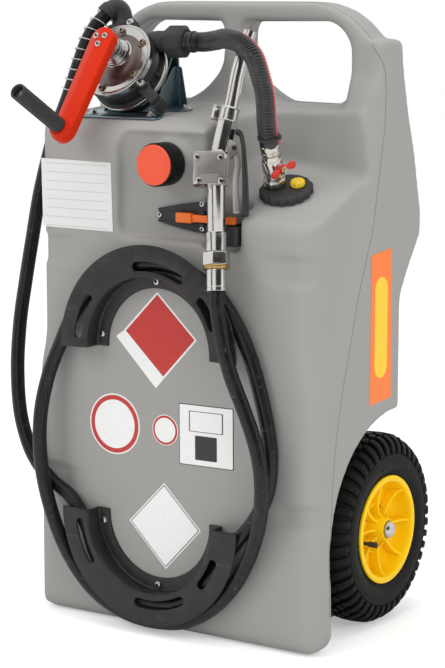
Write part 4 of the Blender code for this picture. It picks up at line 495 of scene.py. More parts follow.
def finish(name, colour, roughness, metallic=0.0, grain=900.0, depth=0.0, dust=0.06, drift=0.15,
        scratches=0.1, spread=0.06, dust_colour=(0.36, 0.34, 0.31), squeeze=(1, 1, 1), coat=0.0,
        specular=0.5, height=None, colour_from=None):
    """A material on the shared surface group. colour_from and height may add a pattern."""
    found = bpy.data.materials.get(name)
    if found:
        return found
    material = bpy.data.materials.new(name)
    material.use_nodes = True
    tree = material.node_tree
    shader = tree.nodes["Principled BSDF"]
    place = node(tree, "ShaderNodeTexCoord").outputs["Object"]
    base = colour_from(tree, place) if colour_from else (*colour, 1.0)
    spot = node(tree, "ShaderNodeMapping", {"Vector": place, "Scale": squeeze}).outputs["Vector"]
    group = node(tree, "ShaderNodeGroup", node_tree=surface_group())
    tree.links.new(spot, group.inputs["Vector"])
    values = {"Dust Colour": (*dust_colour, 1), "Dust": dust, "Drift": drift, "Grain Scale": grain,
        "Scratches": scratches, "Roughness": roughness, "Roughness Spread": spread}
    for key, value in values.items():
        group.inputs[key].default_value = value
    if isinstance(base, bpy.types.NodeSocket):
        tree.links.new(base, group.inputs["Colour"])
    else:
        group.inputs["Colour"].default_value = base
    tree.links.new(group.outputs["Colour"], shader.inputs["Base Color"])
    tree.links.new(group.outputs["Roughness"], shader.inputs["Roughness"])
    shader.inputs["Metallic"].default_value = metallic
    shader.inputs["Coat Weight"].default_value = coat
    shader.inputs["Coat Roughness"].default_value = 0.15
    shader.inputs["Specular IOR Level"].default_value = specular
    relief = group.outputs["Height"]
    if height:
        relief = maths(tree, 'ADD', relief, height(tree, place))
    if depth:
        bump = node(tree, "ShaderNodeBump", {"Height": relief, "Distance": depth, "Strength": 1.0})
        tree.links.new(bump.outputs["Normal"], shader.inputs["Normal"])
    return material


def settings():
    return bpy.context.scene.caddy_sizes


def rules(tree, place):
    """Fine ruled lines of a blank table, between two edges in X."""
    split = node(tree, "ShaderNodeSeparateXYZ", {"Vector": place})
    lines = maths(tree, 'PINGPONG', split.outputs['Z'], 0.0072)
    line = ramp(tree, lines, 0.0006, 0.0002)
    left = ramp(tree, split.outputs['X'], -0.244, -0.2436)
    right = ramp(tree, split.outputs['X'], -0.118, -0.1184)
    amount = maths(tree, 'MULTIPLY', left, right)
    amount = maths(tree, 'MULTIPLY', amount, line)
    amount = maths(tree, 'MULTIPLY', amount, 0.45)
    return blend_colour(tree, amount, (0.72, 0.72, 0.71), (0.1, 0.1, 0.1))


def turning_marks(tree, place):
    centred = node(tree, "ShaderNodeMapping", {"Vector": place, "Location": (0.147, 0.14, -0.912)},
        vector_type='POINT').outputs["Vector"]
    return node(tree, "ShaderNodeTexNoise", {"Vector": centred, "Scale": 260.0,
        "Detail": 4.0}).outputs["Fac"]


def stripe(tree, place):
    """Red stripe along the later half of the suction hose, on its UV map."""
    along = node(tree, "ShaderNodeUVMap", uv_map="along").outputs['UV']
    split = node(tree, "ShaderNodeSeparateXYZ", {"Vector": along})
    off = maths(tree, 'SUBTRACT', split.outputs['X'], SUCTION_STRIPE)
    wide = maths(tree, 'ABSOLUTE', off)
    inside = ramp(tree, wide, 0.046, 0.038)
    late = ramp(tree, split.outputs['Y'], 0.155, 0.17)
    both = maths(tree, 'MULTIPLY', inside, late)
    return blend_colour(tree, both, (0.012, 0.012, 0.013), (0.5, 0.02, 0.016))


PLATE = dict(grain=2000.0, depth=1e-05, dust=0.02, drift=0.06, scratches=0.06)
METAL = dict(metallic=1.0)

# Finish: slot, colour or share of the tank's colour, roughness, and what isn't plain
FINISHES = {
    "moulded_grey": ("moulded_grey", 1.0, 0.42, dict(grain=420.0, depth=0.00025, dust=0.05,
        drift=0.16, spread=0.07, dust_colour=(0.42, 0.4, 0.37), specular=0.45)),
    "seam_grey": ("moulded_grey", 0.62, 0.55, dict(depth=0.0002)),
    "cap_black": ("black_plastic", (0.004, 0.004, 0.004), 0.4, dict(grain=1500.0, depth=5e-05,
        dust=0.02, specular=0.18)),
    "cap_red": ("red_plastic", (0.8, 0.1, 0.045), 0.42, dict(grain=1300.0, depth=4e-05, dust=0.02,
        drift=0.08, specular=0.35)),
    "black_powder": ("black_cast", (0.018, 0.016, 0.015), 0.36, dict(grain=1500.0, depth=8e-05,
        dust=0.04, drift=0.2, specular=0.4)),
    "black_plastic": ("black_plastic", (0.005, 0.005, 0.005), 0.36, dict(grain=1800.0, depth=4e-05,
        dust=0.02, specular=0.22)),
    "black_cast": ("black_cast", (0.004, 0.004, 0.004), 0.38, dict(grain=700.0, depth=0.0002,
        dust=0.02, specular=0.22)),
    "hose_black": ("hose_rubber", (0.008, 0.008, 0.008), 0.3, dict(grain=1500.0, depth=3e-05,
        dust=0.03, scratches=0.2, spread=0.1, specular=0.35)),
    "striped_hose": ("hose_rubber", None, 0.24, dict(grain=1300.0, depth=3e-05, dust=0.05,
        scratches=0.3, spread=0.1, coat=0.3, colour_from=stripe)),
    "tyre_black": ("tyre_rubber", (0.005, 0.005, 0.004), 0.56, dict(grain=1100.0, depth=0.00012,
        dust=0.05, dust_colour=(0.07, 0.07, 0.06), specular=0.16)),
    "seal_black": ("seal_rubber", (0.02, 0.02, 0.02), 0.6, dict(depth=5e-05)),
    "rim_yellow": ("yellow_plastic", (0.98, 0.62, 0.003), 0.36, dict(grain=1300.0, depth=5e-05,
        dust=0.0, drift=0.1, scratches=0.04, specular=0.22)),
    "crank_red": ("red_paint", (0.6, 0.024, 0.003), 0.36, dict(grain=700.0, depth=6e-05, dust=0.0,
        scratches=0.04, specular=0.14)),
    "gloss_red": ("red_paint", (0.62, 0.02, 0.01), 0.28, dict(grain=1200.0, depth=3e-05, dust=0.02,
        coat=0.2)),
    "lock_orange": ("orange_plastic", (0.82, 0.16, 0.018), 0.36, dict(depth=4e-05, dust=0.02)),
    "vent_yellow": ("yellow_plastic", (0.82, 0.56, 0.02), 0.32, dict(depth=4e-05, dust=0.02)),
    "polished_plate": ("polished_cover", (0.6, 0.585, 0.565), 0.18, dict(METAL, grain=1400.0,
        depth=3e-05, dust=0.03, drift=0.12, scratches=0.25, height=turning_marks)),
    "brushed_face": ("polished_cover", (0.225, 0.185, 0.17), 0.36, dict(METAL, grain=1600.0,
        depth=6e-05, dust=0.05, drift=0.4, scratches=0.5, squeeze=(1, 8, 1))),
    # Near-black fill of the screw sockets: painted shade inside the holes.
    "screw_dark": ("steel", (0.006, 0.006, 0.006), 0.5, dict(depth=1e-05, dust=0.02, specular=0.2)),
    "aged_brass": ("steel", (0.44, 0.33, 0.22), 0.3, dict(METAL, grain=1400.0, depth=4e-05)),
    "bright_steel": ("steel", (0.62, 0.61, 0.6), 0.25, dict(METAL, grain=1600.0, depth=2e-05,
        dust=0.03)),
    # Zinc sheet tint, darkened well below bare zinc as painted shade and painted dark reflection of
    # the bracket lying in the pump's shadow.
    "zinc_plate": ("zinc_sheet", (0.27, 0.37, 0.41), 0.34, dict(METAL, grain=600.0, depth=4e-05,
        dust=0.04, drift=0.5, dust_colour=(0.5, 0.5, 0.45))),
    "nickel": ("nickel_brass", (0.66, 0.63, 0.57), 0.22, dict(METAL, depth=4e-05, dust=0.04)),
    "turned_brass": ("brass", (0.66, 0.47, 0.2), 0.26, dict(METAL, depth=2e-05, dust=0.05)),
    "mirror_aluminium": ("aluminium", (0.7, 0.685, 0.66), 0.19, dict(METAL, grain=1200.0,
        depth=3e-05, dust=0.04, drift=0.2, scratches=0.3, spread=0.08)),
    "cast_aluminium": ("aluminium", (0.56, 0.53, 0.49), 0.38, dict(metallic=0.9, grain=950.0,
        depth=0.00012, dust=0.08, drift=0.3, dust_colour=(0.33, 0.32, 0.3))),
    "ruled_plate": ("aluminium", None, 0.34, dict(depth=1e-05, dust=0.03, drift=0.06,
        colour_from=rules)),
    "plate_white": ("aluminium", (0.83, 0.83, 0.82), 0.3, PLATE),
    "plate_dark": ("aluminium", (0.02, 0.02, 0.02), 0.3, PLATE),
    "plate_red": ("aluminium", (0.5, 0.03, 0.022), 0.3, PLATE),
    "plate_orange": ("aluminium", (0.95, 0.2, 0.02), 0.3, PLATE),
    "plate_yellow": ("aluminium", (0.93, 0.6, 0.01), 0.3, PLATE),
}


def paint(name):
    """The material of a finish in the table."""
    _, colour, roughness, more = FINISHES[name]
    if isinstance(colour, float):
        colour = tuple(c * colour for c in settings().tank_colour)
    return finish(name, colour, roughness, **more)


def place_piece(item, body, look, replaces=None, angle=32):
    """Shade a finished mesh, give it its finish and body, and hide the solid it stands for."""
    smooth(item, angle)
    item.data.materials.clear()
    item.data.materials.append(paint(look))
    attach(item, body)
    if replaces:
        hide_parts(replaces)
    return item


# Small hardware

def socket_screw(name, radius, height, hex_radius):
    """Button-head screw with a hexagon socket, standing on local Z = 0."""
    head = lathe(name, [(0, height), (radius * 0.45, height), (radius * 0.8, height * 0.78),
        (radius * 0.97, height * 0.35), (radius, 0), (radius, -height * 0.4), (0, -height * 0.4)],
        sides=20)
    hole = lathe("hex", [(0, height * 2), (hex_radius, height * 2), (hex_radius, height * 0.35),
        (0, height * 0.35)], sides=6)
    return carve(head, hole)


def screws_at(name, places, radius, height, hex_radius, body, material="bright_steel"):
    """Socket screws at several places, with a dark plug in each socket as painted shade of the
    hole.
    """
    screws = repeat(name, socket_screw("screw", radius, height, hex_radius), places, material)
    # Dark plugs part way down the hex sockets: painted shade inside the holes.
    plugs = repeat("plugs", lathe("plug", [(0, height * 0.66), (hex_radius * 1.04, height * 0.66),
        (hex_radius * 1.04, height * 0.3), (0, height * 0.3)], sides=6), places, "screw_dark")
    first = len(screws.data.polygons)
    merge(screws, plugs)
    place_piece(screws, body, material)
    screws.data.materials.append(paint("screw_dark"))
    for face in screws.data.polygons:
        face.material_index = 1 if face.index >= first else 0
    return screws


def hex_nut(name, radius, height, bore):
    return lathe(name, [(bore, height), (radius * 0.9, height), (radius, height * 0.86), (radius,
        height * 0.14), (radius * 0.9, 0), (bore, 0)], sides=6, closed=True)


# Tank

def loft(name, rings):
    """Closed skin through rings with the same number of points."""
    count = len(rings[0])
    verts = [p for ring in rings for p in ring]
    faces = []
    for i in range(len(rings) - 1):
        for k in range(count):
            a, b = i * count + k, i * count + (k + 1) % count
            faces.append((a, b, b + count, a + count))
    faces.append(tuple(reversed(range(count))))
    faces.append(tuple(range((len(rings) - 1) * count, len(rings) * count)))
    return outward(from_lists(name, verts, faces))


def at_height(table, z):
    """Value at a height in a table of (height, value) rows."""
    for (z0, v0), (z1, v1) in zip(table, table[1:]):
        if z <= z1:
            t = max(0.0, (z - z0) / (z1 - z0))
            return v0 + (v1 - v0) * t
    return table[-1][1]


SEAM_Y = pairs(290, -1600, 1570, -1640, 3000, -1535, 3740, -1400, 5530, -830, 6580, -390, 8110, -60,
    8700, -30, 10100, -30)
REAR_EDGE_Y = pairs(3000, 530, 5150, 530, 5370, 540, 5750, 750, 6350, 1180, 6670, 1200, 7740, 950,
    8380, 740, 9300, 520, 10100, 520)
CREASE = [(0.42, (0.266, -0.19)), (0.505, (0.257, -0.158)), (0.735, (0.252, -0.096)), (0.8, (0.252,
    -0.06)), (0.85, (0.255, -0.03))]


def crease_at(z):
    xs = [(h, v[0]) for h, v in CREASE]
    ys = [(h, v[1]) for h, v in CREASE]
    return at_height(xs, z), at_height(ys, z)


def tank_block():
    rings = []
    for z in (-0.02, 0.2, 0.4, 0.425, 0.45, 0.475, 0.6, 0.9):
        share = min(1.0, max(0.0, (z - 0.4) / 0.075))
        share = share * share * (3 - 2 * share)
        half = HALF_WIDTH + (BLOCK_HALF - HALF_WIDTH) * share
        radius = 0.035
        right = arc((half - radius, FRONT_Y + radius), radius, -pi / 2, 0, 5)
        ring = right + [(half, REAR_Y), (-half, REAR_Y)] + [(-x, y) for x, y in reversed(right)]
        rings.append([(x, y, z) for x, y in ring])
    block = loft("tank_body", rings)
    top = PLATFORM_Z + 0.15 * tan(radians(PLATFORM_TILT))
    side = [(REAR_Y + 0.01, 0.0), (REAR_Y + 0.01, top), (0.0, top)]
    side += arc((FRONT_Y + 0.05, PLATFORM_Z - 0.05), 0.05, pi / 2 + radians(PLATFORM_TILT), pi, 8)
    side += arc((FRONT_Y + 0.028, 0.028), 0.028, pi, pi * 3 / 2, 5)
    block = carve(block, prism("side_view", side, -0.3, 0.3, SIDEWAYS), 'INTERSECT')
    crown = arc((BLOCK_HALF - 0.04, top - 0.04), 0.04, 0, pi / 2, 8)
    foot = arc((HALF_WIDTH - 0.038, 0.038), 0.0385, -pi / 2, 0, 8)
    front = foot + [(0.3, 0.04), (0.3, 0.4), (BLOCK_HALF + 0.002, 0.45)] + crown
    front += [(-x, z) for x, z in reversed(front)]
    return carve(block, prism("front_view", front, -0.1, 0.3, FORWARDS), 'INTERSECT')


def tank_wing(side):
    """Wing that swells out of the block's side and carries on up as the handle leg."""
    rings, inner = [], 0.2155
    for z in (0.3, 0.374, 0.44, 0.505, 0.537, 0.575, 0.605, 0.635, 0.667, 0.735, 0.774, 0.811,
            0.838, 0.9, 0.95):
        cx, cy = crease_at(z)
        seam, rear = at_height(SEAM_Y, z), at_height(REAR_EDGE_Y, z)
        ring = [(inner, cy + 0.004), (cx, cy), (HALF_WIDTH, seam), (HALF_WIDTH, rear), (inner,
            rear)]
        if z > 0.85:
            ring = [(inner, -0.012), (0.262, -0.012), (HALF_WIDTH, seam), (HALF_WIDTH, rear),
                (inner, rear)]
        if z < 0.42:
            ring = [(inner, seam), (0.262, seam), (HALF_WIDTH, seam), (HALF_WIDTH, rear), (inner,
                rear)]
        rings.append([(side * x, y, z) for x, y in ring])
    return loft("tank_wing", rings)


def grip_gap(side):
    """Outline of one opening of the handle loop."""
    right, top, radius = 0.215, 0.977, 0.052
    offset = -0.008 * side
    points = [(offset + 0.022, top)]
    for z, half in ((0.962, 0.0165), (0.945, 0.0155), (0.925, 0.0165), (0.905, 0.021), (0.888,
            0.031), (0.872, 0.047), (0.858, 0.068), (0.848, 0.09)):
        points.append((offset + half, z))
    points += [(right - 0.03, 0.846), (right - 0.008, 0.853), (right, 0.872)]
    points += arc((right - radius, top - radius), radius, 0, pi / 2, 8)
    return [(side * x, z) for x, z in points]


def tank_loop():
    centre = (HALF_WIDTH - LOOP_RADIUS, TOP_Z - LOOP_RADIUS)
    right = arc(centre, LOOP_RADIUS, 0, pi / 2, 14)
    outline = [(HALF_WIDTH, 0.79)] + right + [(-x, z) for x, z in reversed(right)] + [(-HALF_WIDTH,
        0.79)]
    loop = prism("tank_loop", outline, -0.052, 0.012, FORWARDS)
    for side in (1, -1):
        loop = carve(loop, prism("gap", grip_gap(side), -0.1, 0.1, FORWARDS))
    return loop


def rounded_slab(name, low, high, radius):
    """Box with big rounded vertical corners seen from the front, as a cutter."""
    outline = rounded([(low[0], low[2]), (high[0], low[2]), (high[0], high[2]), (low[0], high[2])],
        radius, 6)
    return prism(name, outline, -high[1], -low[1], FORWARDS)


def shoulder_tool():
    tilt, edge_radius = radians(SHOULDER_TILT), 0.025
    back = -0.12 - FRONT_Y - edge_radius * (1 - sin(tilt))
    centre = (-back / cos(tilt), -edge_radius)
    edge = arc(centre, edge_radius, pi / 2, pi - tilt, 6)
    foot = (edge[-1][0] - 0.03 * sin(tilt), edge[-1][1] - 0.03 * cos(tilt))
    outline = [(0.5, 0.0)] + edge + [foot, (-0.5, foot[1]), (-0.5, 0.5), (0.5, 0.5)]
    slab = prism("shoulder", outline, -0.5, 0.5, SHOULDER @ SIDEWAYS)
    plan = rounded(pairs(660, -2500, 3000, -2500, 3000, -400, 660, -400), 0.028, 6)
    return carve(slab, prism("shoulder_plan", plan, 0.62, 1.05), 'INTERSECT')


def add_skin(item, voxel):
    step = item.modifiers.new("skin", 'REMESH')
    step.mode = 'VOXEL'
    step.voxel_size = voxel


def make_tank_mesh(voxel):
    tank = merge(tank_block(), tank_wing(1), tank_wing(-1), tank_loop())
    ridge = prism("ridge", rounded(pairs(-1200, 0, 2350, 0, 2350, 450, -1200, 450), 0.012), 0.8,
        0.8445)
    tank = merge(tank, ridge)
    for side in (1, -1):
        low, high = sorted((side * 0.216, side * HALF_WIDTH))
        fill = pairs(-300, 3465, 30, 3520, 400, 3624, 530, 3760, 530, 4000, -300, 4000)
        tank = merge(tank, prism("fill", fill, low, high, SIDEWAYS))
    boss = lathe("boss", pairs(0, 100, 360, 100, 480, -30, 480, -200, 0, -200), FILLER)
    add_skin(tank, voxel)
    tank = bake(tank)
    tank = carve(tank, shoulder_tool())
    valley = prism("valley", rounded(pairs(620, -2500, 1315, -2500, 1315, -1520, 620, -1520),
        0.016), 0.626, 1.05)
    tank = carve(tank, valley)
    recess = rounded_slab("recess", (-0.101, -0.25, 0.637), (0.1, -0.182, 0.806), 0.022)
    tank = carve(tank, recess)
    for side in (1, -1):
        well = lathe("well", pairs(0, 3000, 2010, 3000, 2010, 1760, 0, 1760), sides=64)
        frame_in = shift(0, WHEEL_Y, WHEEL_Z) @ SIDEWAYS
        if side < 0:
            frame_in = shift(0, WHEEL_Y, WHEEL_Z) @ turn('Z', 180) @ SIDEWAYS
        tank = carve(tank, move(well, frame_in))
        low, high = sorted((side * 0.176, side * 0.3))
        arch = pairs(-1556, 1700, -1556, 1500, -1490, 600, -1480, -500, 2000, -500, 2000, 1700)
        tank = carve(tank, prism("arch", arch, low, high, SIDEWAYS))
    tank = merge(tank, boss)
    add_skin(tank, voxel)
    step = tank.modifiers.new("relax", 'SMOOTH')
    step.factor = 0.5
    step.iterations = 14
    return bake(tank)


def soft_step(values, low, high):
    t = np.clip((values - low) / (high - low), 0, 1)
    return t * t * (3 - 2 * t)


def press_bands(tank):
    """Press the two shallow grip bands into the front corners."""
    mesh = tank.data
    count = len(mesh.vertices)
    co, no = np.empty(count * 3), np.empty(count * 3)
    mesh.vertices.foreach_get("co", co)
    mesh.vertices.foreach_get("normal", no)
    co, no = co.reshape(-1, 3), no.reshape(-1, 3)
    reach = soft_step(np.abs(co[:, 0]), 0.165, 0.222)
    back = 1 - soft_step(co[:, 1], -0.192, -0.17)
    outer = soft_step(no[:, 1] * -1 + np.abs(no[:, 0]), 0.5, 0.8)
    total = np.zeros(count)
    for side, low, high in ((1, 0.582, 0.626), (-1, 0.585, 0.633), (1, 0.202, 0.242), (-1, 0.21,
            0.252)):
        z = co[:, 2]
        band = soft_step(z, low - 0.004, low + 0.008) * (1 - soft_step(z, high - 0.008,
            high + 0.004))
        total += band * (co[:, 0] * side > 0)
    co -= no * (total * reach * back * outer * 0.0065)[:, None]
    mesh.vertices.foreach_set("co", co.ravel())
    mesh.update()


def seam_path():
    half = [(HALF_WIDTH, at_height(SEAM_Y, z), z) for z in np.linspace(0.06, 0.86, 110)]
    centre = (HALF_WIDTH - LOOP_RADIUS, TOP_Z - LOOP_RADIUS)
    half += [(x, -0.003, z) for x, z in arc(centre, LOOP_RADIUS, 0, pi / 2, 36)[1:]]
    half += [(x, -0.003, TOP_Z) for x in np.linspace(0.12, 0.0, 12)]
    return half + [(-x, y, z) for x, y, z in reversed(half[:-1])]


def gap_path(side):
    outline = rounded(grip_gap(side), 0.01, 3)
    return [(x, 0.018, z) for x, z in outline + outline[:1]]


def make_seam(tank):
    """Thin ridge where the halves of the mould met, laid on the tank's own skin."""
    tree = BVHTree.FromObject(tank, bpy.context.evaluated_depsgraph_get())
    ridges = []
    for path in (seam_path(), gap_path(1), gap_path(-1)):
        spots = []
        for p in path:
            spot, normal, _, _ = tree.find_nearest(Vector(p))
            spots.append(spot - normal * 0.0003)
        ridges.append(tube("seam", spots, 0.0009, 6))
    return merge(*ridges)


# Sheet half rings that hold the hose

def bracket_profile():
    sheet, web, depth = 0.0035, 0.122, 0.035
    return [(0.098, 0.0003), (web - 0.002, 0.0003), (web, 0.0024), (web, depth - sheet - 0.0022),
        (web + 0.0022, depth - sheet), (0.1692, depth - sheet), (0.17, depth - sheet / 2), (0.1692,
        depth), (web - 0.0012, depth), (web - sheet, depth - 0.0026), (web - sheet, sheet + 0.0026),
        (web - sheet - 0.0018, sheet + 0.0003), (0.0988, sheet + 0.0003), (0.098, sheet / 2)]


def slot_tool(start, stop, inner, outer):
    mid, half = (inner + outer) / 2, (outer - inner) / 2
    outline = arc((0, 0), outer, start, stop, 12)
    end = (mid * cos(stop), mid * sin(stop))
    outline += arc(end, half, stop, stop + pi, 8)[1:-1]
    outline += arc((0, 0), inner, stop, start, 12)
    begin = (mid * cos(start), mid * sin(start))
    outline += arc(begin, half, start + pi, start + 2 * pi, 8)[1:-1]
    return prism("slot", outline, 0.02, 0.05)


class SizesOfCaddy(bpy.types.PropertyGroup):
    tank_colour: FloatVectorProperty(name="Tank Colour", description="Colour of the moulded tank",
        subtype='COLOR', size=3, default=(0.36, 0.338, 0.318), min=0, max=1)
    voxel: FloatProperty(name="Skin Step", description="Step of the tank's moulded skin",
        default=0.0048, min=0.003, max=0.02, unit='LENGTH')
    tread_blocks: IntProperty(name="Tread Blocks",
        description="Blocks round each row of the tyre tread", default=44, min=12, max=90)


class CADDY_OT_tank(bpy.types.Operator):
    """Build the moulded tank with its handle loop and parting seam"""
    bl_idname = "caddy.tank"
    bl_label = "Tank"

    def execute(self, context):
        tank = make_tank_mesh(settings().voxel)
        tank.name = "tank_shell"
        press_bands(tank)
        seam = make_seam(tank)
        seam.name = "tank_seam"
        place_piece(tank, "caddy", "moulded_grey", "tank", angle=40)
        place_piece(seam, "caddy", "seam_grey")
        return {'FINISHED'}


def hose_path():
    end = NOZZLE @ Vector((0, 0, -0.0003))
    before = NOZZLE @ Vector((0, 0, -2 * HOSE_RADIUS))
    return smooth_route(HOSE_ROUTE + [tuple(before), tuple(end)], 620)


class CADDY_OT_hose(bpy.types.Operator):
    """Build the delivery hose and the wire guard at its pump end"""
    bl_idname = "caddy.hose"
    bl_label = "Delivery Hose"

    def execute(self, context):
        points, length = hose_path()
        hose = tube("hose_skin", points, HOSE_RADIUS, 24)
        place_piece(hose, "caddy", "hose_black", "delivery_hose")
        wire, turns, per_turn = [], 8, 26
        frames = frames_along(points)
        step = length / (len(points) - 1)
        for i in range(turns * per_turn + 1):
            share = i / (turns * per_turn)
            at = (0.003 + 0.136 * share) / step
            k = int(at)
            spot = points[k].lerp(points[k + 1], at - k)
            _, u, v = frames[k]
            angle = 2 * pi * i / per_turn
            wire.append(spot + (u * cos(angle) + v * sin(angle)) * (HOSE_RADIUS + 0.0026))
        guard = tube("guard_wire", wire, 0.0011, 8)
        place_piece(guard, "caddy", "bright_steel", "spring_guard")
        return {'FINISHED'}


class CADDY_OT_brackets(bpy.types.Operator):
    """Build the two sheet half rings that the hose is wound on, with their screws"""
    bl_idname = "caddy.brackets"
    bl_label = "Hose Brackets"

    def execute(self, context):
        angles = ((62, 98), (146, 172), (22, 40))
        for name, z, side in (("hose_bracket_top", 0.462, 1), ("hose_bracket_bottom", 0.188, -1)):
            start, stop = radians(-1.6), radians(181.6)
            ring = lathe(name + "_sheet", bracket_profile(), None, 96, True, start, stop)
            for a, b in angles:
                ring = carve(ring, slot_tool(radians(a), radians(b), 0.1285, 0.1435))
            ring = soften(ring, 0.0008, 2, 40)
            place = shift(-0.02, FRONT_Y, z) @ FORWARDS
            if side < 0:
                place = place @ turn('Z', 180) @ Matrix.Scale(-1, 4, (1, 0, 0))
            move(ring, place)
            place_piece(ring, "caddy", "black_powder", name)
            spots = []
            for angle in (9, 90, 171):
                a = radians(angle) * side
                spots.append(shift(-0.02 + 0.1095 * cos(a), FRONT_Y - 0.0042, z + 0.1095 * sin(a))
                    @ FORWARDS)
            screws_at(name + "_screws", spots, 0.0062, 0.0042, 0.003, "caddy")
        return {'FINISHED'}


# Pump and crank

def wavy(name, rows, waves, matrix=None, sides=96, phase=0.0):
    """Turned closed shape whose radius dips in waves; rows are (radius, height, depth of dip)."""
    verts, faces, count = [], [], len(rows)
    for i in range(sides):
        angle = 2 * pi * i / sides
        dip = 0.5 - 0.5 * cos(waves * angle + phase)
        verts += [((r - d * dip) * cos(angle), (r - d * dip) * sin(angle), z) for r, z, d in rows]
    for i in range(sides):
        a, b = i * count, (i + 1) % sides * count
        for j in range(count):
            k = (j + 1) % count
            faces.append((a + j, b + j, b + k, a + k))
    item = outward(from_lists(name, verts, faces))
    return move(item, matrix) if matrix else item


def slot_outline(length, half, steps=12):
    """Straight bar with round ends, from the origin along local X."""
    return arc((0, 0), half, pi / 2, pi * 3 / 2, steps) + arc((length, 0), half, -pi / 2, pi / 2,
        steps)


class CADDY_OT_pump(bpy.types.Operator):
    """Build the pump's cast body, its polished cover and the screws that hold them"""
    bl_idname = "caddy.pump"
    bl_label = "Pump"

    def execute(self, context):
        casting = lathe("pump_casting", pairs(530, -103, 632, -103, 645, -113, 645, -285, 636, -300,
            606, -312, 598, -330, 598, -395, 612, -415, 652, -432, 672, -436, 672, -512, 655, -520,
            590, -530, 560, -590, 540, -612, 0, -612, 0, -512, 530, -512), PUMP @ shift(0, 0.002,
            0), 96, True)
        inlet = lathe("inlet", pairs(0, -1170, 150, -1170, 150, -1092, 158, -1084, 160, -1070, 160,
            -1022, 154, -1004, 0, -1004), shift(0, UNION_Y, UNION_Z) @ SIDEWAYS, 40)
        outlet = lathe("outlet", pairs(0, 475, 205, 475, 205, 655, 226, 668, 228, 710, 218, 721, 0,
            721), PUMP @ shift(-0.035, 0, -0.031) @ turn('X', -90), 40)
        lugs = []
        for angle, reach in BODY_SCREWS:
            outline = [(x + LUG_INNER, y) for x, y in slot_outline(reach - LUG_INNER, 0.0088)]
            lugs.append(prism("lug", outline, -0.029, -0.0116, PUMP @ turn('Z', angle), 0.0012, 2))
        arm = box("foot_lug", (0.052, -0.0092, -0.046), (0.104, 0.0092, -0.017), PUMP @ turn('Z',
            -33), 0.0016, 2)
        shoe = box("foot_shoe", (0.093, -0.011, -0.047), (0.1085, 0.01, -0.025), PUMP @ turn('Z',
            -33), 0.0012, 2)
        web = box("side_web", (0.05, -0.003, -0.042), (0.0665, 0.003, -0.03), PUMP @ turn('Z', -4),
            0.001, 2)
        merge(casting, inlet, outlet, arm, shoe, web, *lugs)
        place_piece(casting, "caddy", "black_cast", "pump_body")
        edge = lathe("casting_edge", pairs(664, -433, 676, -438, 679, -446, 679, -502, 676, -510,
            664, -512), PUMP @ shift(0, 0.002, 0), 96, True)
        place_piece(edge, "caddy", "nickel")
        plate = lathe("cover_plate", pairs(0, -32, 462, -32, 478, -29, 490, -22, 574, -4, 585, 0,
            593, -3, 598, -12, 604, -13, 610, -4, 620, 0, 632, -3, 639, -12, 640, -28, 640, -100, 0,
            -100), PUMP @ shift(0, 0.003, 0), 128)
        bore = lathe("bore", pairs(0, 100, 84, 100, 84, -200, 0, -200), SHAFT, 40)
        plate = carve(plate, bore)
        bosses = repeat("bosses", lathe("boss", pairs(0, -2, 58, -2, 74, -8, 86, -22, 94, -40, 0,
            -40), None, 28), [PUMP @ shift(0, 0.003, 0) @ turn('Z', a) @ shift(0.0518, 0, 0)
            for a in COVER_SCREWS], "brushed_face")
        hub = lathe("shaft_hub", pairs(84, 176, 160, 176, 172, 170, 176, 158, 176, 130, 182, 122,
            196, 120, 203, 112, 204, 84, 211, 76, 226, 73, 233, 64, 235, 34, 242, 16, 262, 0, 84,
            -34), SHAFT, 96, True)
        merge(plate, hub)
        place_piece(plate, "caddy", "polished_plate", "pump_cover", angle=28)
        face = lathe("cover_face", pairs(100, 10, 262, 8, 300, -8, 350, -22, 400, -27, 468, -27,
            478, -30, 478, -50, 100, -50), PUMP @ shift(0, 0.003, 0), 96, True)
        face = carve(face, lathe("bore", pairs(0, 200, 170, 200, 170, -200, 0, -200), SHAFT, 40))
        merge(face, bosses)
        place_piece(face, "caddy", "brushed_face", angle=28)
        screws_at("cover_screws", [PUMP @ shift(0, 0.003, 0) @ turn('Z', a) @ shift(0.0528, 0,
            -0.0002) @ turn('Z', a * 3) for a in COVER_SCREWS], 0.0047, 0.004, 0.0027, "caddy",
            "aged_brass")
        screws_at("body_screws", [PUMP @ turn('Z', a) @ shift(r, 0, -0.0114) for a,
            r in BODY_SCREWS], 0.0068, 0.004, 0.0022, "caddy")
        return {'FINISHED'}


def crank_blank():
    """Flat bar with a soft fold along its left third and well rounded edges."""
    back, front, fold = 0.034, 0.05, -0.0075
    outline = arc((0, 0), 0.021, pi / 2, pi * 3 / 2, 16) + arc((GRIP_END, 0), 0.021, -pi / 2,
        pi / 2, 16)
    outline = [(x - 0.002 * max(0.0, 1 - abs(x) / 0.03) * (x < 0), y * (1 + 0.34 * max(0.0,
        1 - x / 0.15) * (y < 0))) for x, y in outline]
    bar = prism("crank_bar", outline, back, front)
    shape = bmesh.new()
    shape.from_mesh(bar.data)
    bmesh.ops.bisect_plane(shape, geom=shape.verts[:] + shape.edges[:] + shape.faces[:], dist=1e-06,
        plane_co=(0, fold, 0), plane_no=(0, 1, 0))
    for vert in shape.verts:
        if vert.co.z > front - 0.0001 and vert.co.y < fold:
            vert.co.z -= (fold - vert.co.y) * 0.34
    shape.to_mesh(bar.data)
    shape.free()
    return soften(bar, 0.0026, 4, 35)


